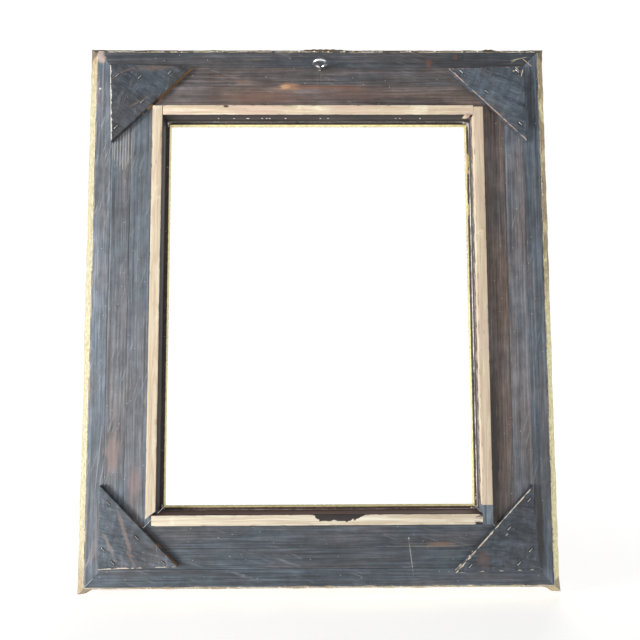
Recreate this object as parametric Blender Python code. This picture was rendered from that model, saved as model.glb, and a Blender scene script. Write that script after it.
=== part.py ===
"""Large gilt display frame, seen and used from the back, for a picture or a folded jersey.

Four mitred sides carry the rebate. Each side is glued up from three stained pine strips on the
back of a gilt moulding, with triangular plywood gussets stapled over the mitres, raw pine laths
that deepen the rebate, and one screw eye to hang the frame by.

Frame: X to the right as seen from the back, Y from the back to the gilt front, Z up. The origin
is the centre of the screw eye's ring, where the wall hook goes. Units are metres.
"""

import math

import bmesh
import bpy
from mathutils import Matrix, Vector

# ---------------------------------------------------------------- driving dimensions
REBATE_WIDTH = 0.612
REBATE_HEIGHT = 0.770
RAIL_WIDTH = 0.137
RAIL_THICKNESS = 0.016
OUTER_STRIP_WIDTH = 0.033
MIDDLE_STRIP_WIDTH = 0.0385
CLEARANCE = 0.0003

LATH_WIDTH = 0.020
LATH_HEIGHT = 0.013
LEFT_LATH_OUTER_END = -0.392
LEFT_LATH_INNER_END = -0.377
BOTTOM_LATH_START = -0.314
RIGHT_LATH_TOP = 0.4018
RIGHT_LATH_END = -0.369

LIP = 0.0065
LEDGE_STEP = 0.0005
SIGHT_WALL_DEPTH = 0.0110
BEAD_RADIUS = 0.0045
FLAT_START = 0.012
FLAT_END = 0.030
COVE_END = 0.106
COVE_RISE = 0.036
COVE_POINTS = 8
CREST_INNER = 0.110
CREST_OUTER = 0.142
CREST_DEPTH = 0.072
CREST_BEVEL = 0.006
FLARE = 0.032
FLARE_EDGE_DEPTH = 0.044
FLARE_EDGE_HEIGHT = 0.006
FLARE_HOLLOW = 0.006

ORNAMENT_THICKNESS = 0.008
ORNAMENT_REACH = 0.006
CENTRE_ORNAMENT_LENGTH = 0.150
CORNER_ORNAMENT_LEG = 0.120
ORNAMENT_LOBES = 7
LOBE_DEPTH = 0.10

GUSSET_THICKNESS = 0.009
# Corner signs, insets from the side and the end of the frame, legs along X and Z, turn in degrees, and how
# far the end of the Z leg leans in, because the plates were not cut quite square.
GUSSETS = {
    "top_left": ((-1, 1), (0.0295, 0.030), (0.1635, 0.158), -2.2, 0.0114),
    "top_right": ((1, 1), (0.032, 0.035), (0.151, 0.153), 1.8, 0.0028),
    "bottom_left": ((-1, -1), (0.030, 0.037), (0.1485, 0.154), 1.6, 0.0038),
    "bottom_right": ((1, -1), (0.0305, 0.032), (0.159, 0.1555), 1.6, 0.0038),
}

# Staple centres as distances from each gusset's square corner, along its X leg and its Z leg.
STAPLES = {
    "top_left": ((0.0164, 0.0233), (0.0608, 0.0255), (0.1195, 0.0137), (0.0684, 0.0752), (0.0198, 0.1289)),
    "top_right": ((0.1257, 0.0078), (0.0141, 0.0098), (0.0772, 0.0506), (0.0143, 0.1175)),
    "bottom_left": ((0.0205, 0.121), (0.073, 0.056), (0.028, 0.012), (0.122, 0.009), (0.010, 0.037)),
    "bottom_right": ((0.013, 0.129), (0.0157, 0.037), (0.0387, 0.0134), (0.0534, 0.0784), (0.130, 0.012)),
}
STAPLE_CROWN = 0.010
STAPLE_WIRE = 0.0013
STAPLE_LEG = 0.019
STAPLE_CROWN_RISE = 0.0012

EYE_X = 0.0035
EYE_BELOW_TOP = 0.037
EYE_STAND_OFF = 0.037
EYE_RING_RADIUS = 0.0125
EYE_WIRE_RADIUS = 0.0025
EYE_SHANK_DEPTH = 0.026
EYE_OPEN_ANGLE = math.radians(24.0)
EYE_RING_POINTS = 26
EYE_HOLE_SIDES = 16

# ---------------------------------------------------------------- derived dimensions
HALF_REBATE_X = REBATE_WIDTH / 2
HALF_REBATE_Z = REBATE_HEIGHT / 2
HALF_BACK_X = HALF_REBATE_X + RAIL_WIDTH
HALF_BACK_Z = HALF_REBATE_Z + RAIL_WIDTH
HALF_SIGHT_X = HALF_REBATE_X - LIP
HALF_SIGHT_Z = HALF_REBATE_Z - LIP
MOULDING_BACK = RAIL_THICKNESS + CLEARANCE
RAIL_OUTER = LIP + RAIL_WIDTH
EYE_Z = HALF_BACK_Z - EYE_BELOW_TOP
EYE_RING_Y = -(EYE_STAND_OFF - EYE_RING_RADIUS - EYE_WIRE_RADIUS)
ORIGIN = Vector((EYE_X, EYE_RING_Y, EYE_Z))

# The four sides: turn about Y, half length of the opening along it and half width across it.
SIDES = {
    "top": (0.0, HALF_REBATE_X, HALF_REBATE_Z),
    "right": (90.0, HALF_REBATE_Z, HALF_REBATE_X),
    "bottom": (180.0, HALF_REBATE_X, HALF_REBATE_Z),
    "left": (270.0, HALF_REBATE_Z, HALF_REBATE_X),
}


# ---------------------------------------------------------------- scene helpers
def clear_scene():
    for item in list(bpy.data.objects):
        bpy.data.objects.remove(item, do_unlink=True)


def new_collection(name):
    collection = bpy.data.collections.new(name)
    bpy.context.scene.collection.children.link(collection)
    return collection


def make_material(name, color, roughness, metallic=0.0):
    material = bpy.data.materials.new(name)
    material.use_nodes = True
    shader = material.node_tree.nodes["Principled BSDF"]
    shader.inputs["Base Color"].default_value = (*color, 1.0)
    shader.inputs["Roughness"].default_value = roughness
    shader.inputs["Metallic"].default_value = metallic
    material.diffuse_color = (*color, 1.0)
    return material


def add_part(name, mesh, material, parts, root):
    mesh.materials.clear()
    mesh.materials.append(material)
    part = bpy.data.objects.new(name, mesh)
    parts.objects.link(part)
    part.parent = root
    return part


def add_cutter(name, mesh, cutters, root):
    cutter = bpy.data.objects.new(name, mesh)
    cutters.objects.link(cutter)
    cutter.parent = root
    cutter.hide_render = True
    cutter.display_type = "WIRE"
    return cutter


def cut(part, cutter):
    modifier = part.modifiers.new("Cut_" + cutter.name, "BOOLEAN")
    modifier.operation = "DIFFERENCE"
    modifier.object = cutter


def curve_to_mesh(curve):
    """Turn a filled curve into a closed mesh and drop the curve."""
    holder = bpy.data.objects.new(curve.name, curve)
    bpy.context.scene.collection.objects.link(holder)
    bpy.context.view_layer.update()
    evaluated = holder.evaluated_get(bpy.context.evaluated_depsgraph_get())
    mesh = bpy.data.meshes.new_from_object(evaluated)
    work = bmesh.new()
    work.from_mesh(mesh)
    bmesh.ops.remove_doubles(work, verts=work.verts, dist=0.00001)
    bmesh.ops.recalc_face_normals(work, faces=work.faces)
    work.to_mesh(mesh)
    work.free()
    bpy.data.objects.remove(holder, do_unlink=True)
    bpy.data.curves.remove(curve)
    return mesh


def outline_mesh(name, points, half_thickness):
    """Flat plate from an outline in its local XY plane, thickened along local Z."""
    curve = bpy.data.curves.new(name, "CURVE")
    curve.dimensions = "2D"
    curve.fill_mode = "BOTH"
    curve.extrude = half_thickness
    spline = curve.splines.new("POLY")
    spline.points.add(len(points) - 1)
    for point, (across, up) in zip(spline.points, points):
        point.co = (across, up, 0.0, 1.0)
    spline.use_cyclic_u = True
    return curve_to_mesh(curve)


def stand_up(mesh, back_y, thickness):
    """Turn a plate from the XY plane into the XZ plane, with its back face at back_y."""
    mesh.transform(Matrix.Rotation(math.radians(90.0), 4, "X"))
    mesh.transform(Matrix.Translation((0.0, back_y + thickness / 2, 0.0)))


# ---------------------------------------------------------------- mitred sides
def mitred_bar(name, profile, half_opening, half_width):
    """Bar above the opening: profile points are (distance out from the rebate, depth)."""
    mesh = outline_mesh(name, profile, half_opening)
    # Local X of the outline becomes Z, local Y becomes depth and the extrusion runs along X.
    for vertex in mesh.vertices:
        out, depth, along = vertex.co
        reach = half_opening + out - CLEARANCE
        vertex.co = (math.copysign(reach, along), depth, half_width + out)
    work = bmesh.new()
    work.from_mesh(mesh)
    bmesh.ops.recalc_face_normals(work, faces=work.faces)
    work.to_mesh(mesh)
    work.free()
    return mesh


def rectangle(inner, outer, back, front):
    return [(inner, back), (outer, back), (outer, front), (inner, front)]


def place_side(part, turn):
    part.rotation_euler = (0.0, math.radians(turn), 0.0)


def make_rails(material, parts, root):
    """Three glued strips on each side, named from the outside in."""
    outer_line = RAIL_WIDTH - OUTER_STRIP_WIDTH
    middle_line = outer_line - MIDDLE_STRIP_WIDTH
    strips = {
        "outer": (outer_line + CLEARANCE / 2, RAIL_WIDTH),
        "middle": (middle_line + CLEARANCE / 2, outer_line - CLEARANCE / 2),
        "inner": (0.0, middle_line - CLEARANCE / 2),
    }
    rails = {}
    for side, (turn, half_opening, half_width) in SIDES.items():
        for layer, (inner, outer) in strips.items():
            name = f"{side}_rail_{layer}_strip"
            profile = rectangle(inner, outer, 0.0, RAIL_THICKNESS)
            mesh = mitred_bar(name, profile, half_opening, half_width)
            rails[side, layer] = add_part(name, mesh, material, parts, root)
            place_side(rails[side, layer], turn)
    return rails


def moulding_profile():
    """Section of the gilt moulding: distance out from the rebate line, depth from the back face."""
    sight_front = MOULDING_BACK + SIGHT_WALL_DEPTH
    section = [
        (-CLEARANCE, MOULDING_BACK),
        (-CLEARANCE, MOULDING_BACK + LEDGE_STEP),
        (-LIP, MOULDING_BACK + LEDGE_STEP),
        (-LIP, sight_front),
    ]
    for step in range(1, 6):
        angle = math.pi * (1.0 - step / 5)
        bead = Vector((math.cos(angle), math.sin(angle))) * BEAD_RADIUS
        section.append((-LIP + BEAD_RADIUS + bead.x, sight_front + bead.y))
    flat_depth = sight_front + 0.4 * BEAD_RADIUS
    section += [(FLAT_START - LIP, flat_depth), (FLAT_END - LIP, flat_depth)]
    for step in range(COVE_POINTS + 1):
        angle = 0.5 * math.pi * step / COVE_POINTS
        across = FLAT_END + (COVE_END - FLAT_END) * math.sin(angle)
        section.append((across - LIP, flat_depth + 0.003 + COVE_RISE * (1.0 - math.cos(angle))))
    section += [
        (CREST_INNER - LIP, CREST_DEPTH - CREST_BEVEL),
        (CREST_INNER + CREST_BEVEL - LIP, CREST_DEPTH),
        (CREST_OUTER - CREST_BEVEL - LIP, CREST_DEPTH),
        (CREST_OUTER - LIP, CREST_DEPTH - CREST_BEVEL),
    ]
    edge = RAIL_WIDTH + FLARE
    hollow_across = (CREST_OUTER - LIP + edge) / 2
    section += [
        (hollow_across, FLARE_EDGE_DEPTH + FLARE_EDGE_HEIGHT + FLARE_HOLLOW),
        (edge, FLARE_EDGE_DEPTH + FLARE_EDGE_HEIGHT),
        (edge, FLARE_EDGE_DEPTH),
        (RAIL_WIDTH + FLARE / 2, MOULDING_BACK + 0.010),
        (RAIL_WIDTH, MOULDING_BACK),
    ]
    return section


def make_mouldings(material, parts, root):
    mouldings = {}
    for side, (turn, half_opening, half_width) in SIDES.items():
        name = f"{side}_gilt_moulding"
        mesh = mitred_bar(name, moulding_profile(), half_opening, half_width)
        mouldings[side] = add_part(name, mesh, material, parts, root)
        place_side(mouldings[side], turn)
    return mouldings


# ---------------------------------------------------------------- ornaments
def lobed_outline(half_length, half_height, centre):
    """Shell outline: an ellipse whose rim swells into equal lobes."""
    points = []
    count = ORNAMENT_LOBES * 6
    for step in range(count):
        angle = 2.0 * math.pi * step / count
        swell = 1.0 - LOBE_DEPTH * math.sin(ORNAMENT_LOBES * angle / 2) ** 2
        across = centre[0] + half_length * swell * math.cos(angle)
        points.append((across, centre[1] + half_height * swell * math.sin(angle)))
    return points


def corner_outline():
    """Leaf spray over a mitre: two legs that meet in a rounded corner, local to a top right."""
    edge = RAIL_WIDTH + FLARE + ORNAMENT_REACH
    inner = CREST_INNER - LIP - 0.020
    leg = CORNER_ORNAMENT_LEG
    mid = (edge + inner) / 2
    corner = edge - 0.018
    return [
        (edge - leg, mid + 0.006),
        (edge - 0.5 * leg, edge - 0.010),
        (edge - 0.25 * leg, edge),
        (corner, edge),
        (edge, corner),
        (edge, edge - 0.25 * leg),
        (edge - 0.010, edge - 0.5 * leg),
        (mid + 0.006, edge - leg),
        (mid - 0.006, edge - leg),
        (inner + 0.006, inner),
        (inner - 0.012, inner - 0.012),
        (inner, inner + 0.006),
        (edge - leg, mid - 0.006),
    ]


def make_ornaments(material, parts, root):
    back_y = CREST_DEPTH + CLEARANCE
    edge = RAIL_WIDTH + FLARE + ORNAMENT_REACH
    inner = CREST_INNER - LIP - 0.020
    for side, (turn, _, half_width) in SIDES.items():
        centre = (0.0, half_width + (edge + inner) / 2)
        outline = lobed_outline(CENTRE_ORNAMENT_LENGTH / 2, (edge - inner) / 2, centre)
        name = f"{side}_centre_ornament"
        mesh = outline_mesh(name, outline, ORNAMENT_THICKNESS / 2)
        stand_up(mesh, back_y, ORNAMENT_THICKNESS)
        place_side(add_part(name, mesh, material, parts, root), turn)
    for corner, (signs, _, _, _, _) in GUSSETS.items():
        outline = []
        for across, up in corner_outline():
            outline.append((signs[0] * (HALF_REBATE_X + across), signs[1] * (HALF_REBATE_Z + up)))
        name = f"{corner}_corner_ornament"
        mesh = outline_mesh(name, outline, ORNAMENT_THICKNESS / 2)
        stand_up(mesh, back_y, ORNAMENT_THICKNESS)
        add_part(name, mesh, material, parts, root)


# ---------------------------------------------------------------- laths round the rebate
def lath(name, outline, material, parts, root):
    mesh = outline_mesh(name, outline, LATH_HEIGHT / 2)
    stand_up(mesh, -LATH_HEIGHT - CLEARANCE, LATH_HEIGHT)
    return add_part(name, mesh, material, parts, root)


def make_laths(pine, stained, parts, root):
    inner_x = HALF_REBATE_X
    inner_z = HALF_REBATE_Z
    outer_x = inner_x + LATH_WIDTH
    outer_z = inner_z + LATH_WIDTH
    butt_x = inner_x + CLEARANCE
    left = [
        (-outer_x, LEFT_LATH_OUTER_END),
        (-inner_x, LEFT_LATH_INNER_END),
        (-inner_x, outer_z - 0.001),
        (-outer_x, outer_z - 0.001),
    ]
    top = rectangle(-inner_x + CLEARANCE, inner_x, inner_z, outer_z)
    right = rectangle(butt_x, outer_x, RIGHT_LATH_END, RIGHT_LATH_TOP)
    bottom = rectangle(BOTTOM_LATH_START, inner_x, -outer_z, -inner_z)
    block = rectangle(butt_x, outer_x, -outer_z, RIGHT_LATH_END - CLEARANCE)
    lath("left_rebate_lath", left, pine, parts, root)
    lath("top_rebate_lath", top, pine, parts, root)
    lath("right_rebate_lath", right, pine, parts, root)
    lath("bottom_rebate_lath", bottom, pine, parts, root)
    lath("bottom_right_corner_block", block, stained, parts, root)


# ---------------------------------------------------------------- gussets and staples
def gusset_corner(corner):
    (sign_x, sign_z), (inset_x, inset_z), _, turn, _ = GUSSETS[corner]
    place = Vector((sign_x * (HALF_BACK_X - inset_x), 0.0, sign_z * (HALF_BACK_Z - inset_z)))
    # A turn that is positive as seen from the back is negative about +Y.
    return Matrix.Translation(place) @ Matrix.Rotation(math.radians(-turn), 4, "Y")


def make_gussets(material, parts, root):
    gussets = {}
    for corner, ((sign_x, sign_z), _, (leg_x, leg_z), _, lean) in GUSSETS.items():
        outline = [(0.0, 0.0), (-sign_x * leg_x, 0.0), (-sign_x * lean, -sign_z * leg_z)]
        mesh = outline_mesh(f"{corner}_gusset", outline, GUSSET_THICKNESS / 2)
        stand_up(mesh, -GUSSET_THICKNESS - CLEARANCE, GUSSET_THICKNESS)
        gussets[corner] = add_part(f"{corner}_gusset", mesh, material, parts, root)
        gussets[corner].matrix_local = gusset_corner(corner)
    return gussets


def staple_outline(grow):
    """U shape in the plane of its crown and legs; grow widens it into its slot."""
    half = STAPLE_CROWN / 2
    wire = STAPLE_WIRE
    top = STAPLE_CROWN_RISE
    bottom = STAPLE_CROWN_RISE - wire
    return [
        (-half - grow, -STAPLE_LEG - grow),
        (-half + wire + grow, -STAPLE_LEG - grow),
        (-half + wire + grow, bottom - grow),
        (half - wire - grow, bottom - grow),
        (half - wire - grow, -STAPLE_LEG - grow),
        (half + grow, -STAPLE_LEG - grow),
        (half + grow, top + grow),
        (-half - grow, top + grow),
    ]


def staple_place(corner, distances):
    """Staples lie along the gusset's long side, driven in from the back."""
    (sign_x, sign_z), _, (leg_x, leg_z), _, lean = GUSSETS[corner]
    slope = math.atan2(leg_z, leg_x - lean)
    centre = Vector((-sign_x * distances[0], -GUSSET_THICKNESS - CLEARANCE, -sign_z * distances[1]))
    turn = Matrix.Rotation(sign_x * sign_z * slope, 4, "Y")
    face_in = Matrix.Rotation(math.pi, 4, "X")
    return gusset_corner(corner) @ Matrix.Translation(centre) @ turn @ face_in


def rails_under(place, rails):
    """Rail strips that a staple's two legs go into, also where a leg straddles a joint."""
    found = set()
    for end in (-1, 1):
        leg = place @ Vector((end * (STAPLE_CROWN - STAPLE_WIRE) / 2, 0.0, 0.0))
        for shift_x in (-STAPLE_WIRE, STAPLE_WIRE):
            for shift_z in (-STAPLE_WIRE, STAPLE_WIRE):
                out_x = abs(leg.x + shift_x) - HALF_REBATE_X
                out_z = abs(leg.z + shift_z) - HALF_REBATE_Z
                if out_z > out_x:
                    side = "top" if leg.z > 0 else "bottom"
                else:
                    side = "right" if leg.x > 0 else "left"
                found.add((side, strip_at(max(out_x, out_z))))
    return [rails[key] for key in sorted(found)]


def strip_at(out):
    if out > RAIL_WIDTH - OUTER_STRIP_WIDTH:
        return "outer"
    if out > RAIL_WIDTH - OUTER_STRIP_WIDTH - MIDDLE_STRIP_WIDTH:
        return "middle"
    return "inner"


def make_staples(material, gussets, rails, parts, cutters, root):
    wire_half = STAPLE_WIRE / 2
    for corner, places in STAPLES.items():
        for number, distances in enumerate(places, start=1):
            place = staple_place(corner, distances)
            name = f"{corner}_staple_{number}"
            mesh = outline_mesh(name, staple_outline(0.0), wire_half)
            staple = add_part(name, mesh, material, parts, root)
            staple.matrix_local = place
            slot_mesh = outline_mesh("slot_" + name, staple_outline(CLEARANCE), wire_half + CLEARANCE)
            slot = add_cutter("slot_" + name, slot_mesh, cutters, root)
            slot.matrix_local = place
            cut(gussets[corner], slot)
            for rail in rails_under(place, rails):
                cut(rail, slot)


# ---------------------------------------------------------------- screw eye
def eye_path():
    """Wire from the open end round the ring, through the neck and down the shank."""
    points = []
    start = -math.pi / 2 - EYE_OPEN_ANGLE
    sweep = -2.0 * math.pi + 2.0 * EYE_OPEN_ANGLE
    for step in range(EYE_RING_POINTS + 1):
        angle = start + sweep * step / EYE_RING_POINTS
        points.append(Vector((EYE_RING_RADIUS * math.cos(angle), EYE_RING_RADIUS * math.sin(angle), 0.0)))
    neck = -EYE_RING_RADIUS - 1.2 * EYE_WIRE_RADIUS
    points.append(Vector((0.25 * EYE_WIRE_RADIUS, neck, 0.0)))
    points.append(Vector((0.0, neck - 1.2 * EYE_WIRE_RADIUS, 0.0)))
    points.append(Vector((0.0, EYE_RING_Y - 0.8 * EYE_SHANK_DEPTH, 0.0)))
    points.append(Vector((0.0, EYE_RING_Y - EYE_SHANK_DEPTH, 0.0)))
    return points


def make_screw_eye(material, rails, mouldings, parts, cutters, root):
    curve = bpy.data.curves.new("screw_eye", "CURVE")
    curve.dimensions = "3D"
    curve.bevel_depth = EYE_WIRE_RADIUS
    curve.bevel_resolution = 2
    curve.use_fill_caps = True
    path = eye_path()
    spline = curve.splines.new("POLY")
    spline.points.add(len(path) - 1)
    for point, place in zip(spline.points, path):
        point.co = (*place, 1.0)
    spline.points[len(path) - 1].radius = 0.3
    mesh = curve_to_mesh(curve)
    mesh.shade_smooth()
    # The path is drawn with its shank towards -Y, so half a turn about Z points it into the frame.
    mesh.transform(Matrix.Rotation(math.pi, 4, "Z"))
    eye = add_part("screw_eye", mesh, material, parts, root)
    eye.location = (EYE_X, EYE_RING_Y, EYE_Z)

    bpy.ops.mesh.primitive_cylinder_add(
        vertices=EYE_HOLE_SIDES,
        radius=EYE_WIRE_RADIUS + 2 * CLEARANCE,
        depth=2 * EYE_SHANK_DEPTH + 4 * CLEARANCE,
        rotation=(math.radians(90.0), 0.0, 0.0),
        location=(EYE_X, 0.0, EYE_Z),
    )
    hole = bpy.context.object
    hole.name = "hole_screw_eye"
    for owner in list(hole.users_collection):
        owner.objects.unlink(hole)
    cutters.objects.link(hole)
    hole.parent = root
    hole.hide_render = True
    hole.display_type = "WIRE"
    cut(rails["top", strip_at(EYE_Z - HALF_REBATE_Z)], hole)
    cut(mouldings["top"], hole)


# ---------------------------------------------------------------- build
def build():
    clear_scene()
    parts = new_collection("jersey_display_frame")
    cutters = new_collection("cutters")
    root = bpy.data.objects.new("frame_centre", None)
    parts.objects.link(root)
    root.location = -ORIGIN

    stained = make_material("stained_pine", (0.075, 0.072, 0.075), 0.62)
    pine = make_material("raw_pine", (0.66, 0.52, 0.34), 0.75)
    plywood = make_material("stained_plywood", (0.060, 0.066, 0.075), 0.58)
    gilt = make_material("gilt", (0.78, 0.66, 0.36), 0.40, 0.6)
    steel = make_material("staple_steel", (0.42, 0.40, 0.38), 0.45, 0.9)
    zinc = make_material("zinc_plate", (0.72, 0.72, 0.74), 0.28, 1.0)

    rails = make_rails(stained, parts, root)
    mouldings = make_mouldings(gilt, parts, root)
    make_ornaments(gilt, parts, root)
    make_laths(pine, stained, parts, root)
    gussets = make_gussets(plywood, parts, root)
    make_staples(steel, gussets, rails, parts, cutters, root)
    make_screw_eye(zinc, rails, mouldings, parts, cutters, root)


build()
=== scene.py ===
"""Looks of the gilt display frame, seen from its back: stained pine boards, stapled plywood gussets,
raw pine laths round the rebate, a screw eye, and a carved and gilded front.

Places are metres. A point on a side is (along the side, out from the rebate, depth from the back face).
"""

import math
import random

import bmesh
import bpy
from mathutils import Matrix, Vector, noise


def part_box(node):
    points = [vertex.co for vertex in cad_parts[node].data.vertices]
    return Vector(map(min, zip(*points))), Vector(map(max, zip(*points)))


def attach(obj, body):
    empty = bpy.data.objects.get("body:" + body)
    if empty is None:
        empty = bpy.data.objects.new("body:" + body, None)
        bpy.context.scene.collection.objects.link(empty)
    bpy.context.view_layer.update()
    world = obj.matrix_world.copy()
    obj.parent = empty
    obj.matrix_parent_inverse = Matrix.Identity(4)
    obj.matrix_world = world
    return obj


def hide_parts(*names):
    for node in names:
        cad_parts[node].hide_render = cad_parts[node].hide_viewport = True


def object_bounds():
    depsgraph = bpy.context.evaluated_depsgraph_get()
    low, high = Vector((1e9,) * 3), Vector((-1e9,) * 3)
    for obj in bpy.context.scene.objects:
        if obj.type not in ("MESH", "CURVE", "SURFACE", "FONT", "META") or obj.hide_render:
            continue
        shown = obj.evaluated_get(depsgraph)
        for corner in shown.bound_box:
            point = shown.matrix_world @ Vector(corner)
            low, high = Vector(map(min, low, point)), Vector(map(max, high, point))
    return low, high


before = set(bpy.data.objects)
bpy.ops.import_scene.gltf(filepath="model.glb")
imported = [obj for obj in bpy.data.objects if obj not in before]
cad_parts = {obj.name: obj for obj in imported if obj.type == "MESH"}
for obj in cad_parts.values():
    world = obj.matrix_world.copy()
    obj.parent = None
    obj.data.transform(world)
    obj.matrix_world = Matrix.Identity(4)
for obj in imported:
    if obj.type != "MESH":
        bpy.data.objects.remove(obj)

CAD_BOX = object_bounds()

# ---------------------------------------------------------------- places taken from the CAD nodes
LEFT_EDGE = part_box("left_rail_outer_strip")[0].x
RIGHT_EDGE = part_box("right_rail_outer_strip")[1].x
TOP_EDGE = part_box("top_rail_outer_strip")[1].z
BOTTOM_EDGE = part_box("bottom_rail_outer_strip")[0].z
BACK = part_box("left_rail_outer_strip")[0].y
CENTRE = Vector(((LEFT_EDGE + RIGHT_EDGE) / 2, BACK, (TOP_EDGE + BOTTOM_EDGE) / 2))
RAIL_WIDTH = TOP_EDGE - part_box("top_rail_inner_strip")[0].z
RAIL_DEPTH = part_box("top_rail_inner_strip")[1].y - BACK
HALF_X = (RIGHT_EDGE - LEFT_EDGE) / 2 - RAIL_WIDTH
HALF_Z = (TOP_EDGE - BOTTOM_EDGE) / 2 - RAIL_WIDTH
FLOOR_Z = CAD_BOX[0].z
# Clearance between neighbouring pieces, as in the CAD.
GAP = 0.0003
SIDES = ("top", "right", "bottom", "left")
CORNERS = {"top_left": (-1, 1), "top_right": (1, 1), "bottom_left": (-1, -1), "bottom_right": (1, -1)}


def staple_turn(node):
    """Turn of a staple's crown about Y, in degrees, as seen from the front."""
    sign_x, sign_z = CORNERS[node.split("_staple_")[0]]
    return -45.0 * sign_x * sign_z


def local_box(node):
    low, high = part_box(node)
    return low - CENTRE, high - CENTRE


def half_length(side):
    return HALF_X if side in ("top", "bottom") else HALF_Z


def outward_reach(node, side):
    """Where a board starts and ends, out from the rebate."""
    low, high = local_box(node)
    if side in ("top", "bottom"):
        return sorted((abs(low.z) - HALF_Z, abs(high.z) - HALF_Z))
    return sorted((abs(low.x) - HALF_X, abs(high.x) - HALF_X))


def place(side, along, out, depth):
    """Point on one side of the frame."""
    if side == "top":
        spot = Vector((along, depth, HALF_Z + out))
    elif side == "right":
        spot = Vector((HALF_X + out, depth, -along))
    elif side == "bottom":
        spot = Vector((-along, depth, -HALF_Z - out))
    else:
        spot = Vector((-HALF_X - out, depth, along))
    return spot + CENTRE


def rough(x, y=0.0, z=0.0, seed=0.0):
    """Smooth noise from about -1 to 1."""
    return noise.noise(Vector((x + seed * 17.3, y - seed * 5.1, z + seed * 9.7)))


def ease(value, low, high):
    """0 below low, 1 above high, smooth between."""
    t = min(1.0, max(0.0, (value - low) / (high - low)))
    return t * t * (3.0 - 2.0 * t)


# ---------------------------------------------------------------- material builder
# Nearly all of a noise texture's values lie in this range.
NOISE_RANGE = (0.3, 0.7)


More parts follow.
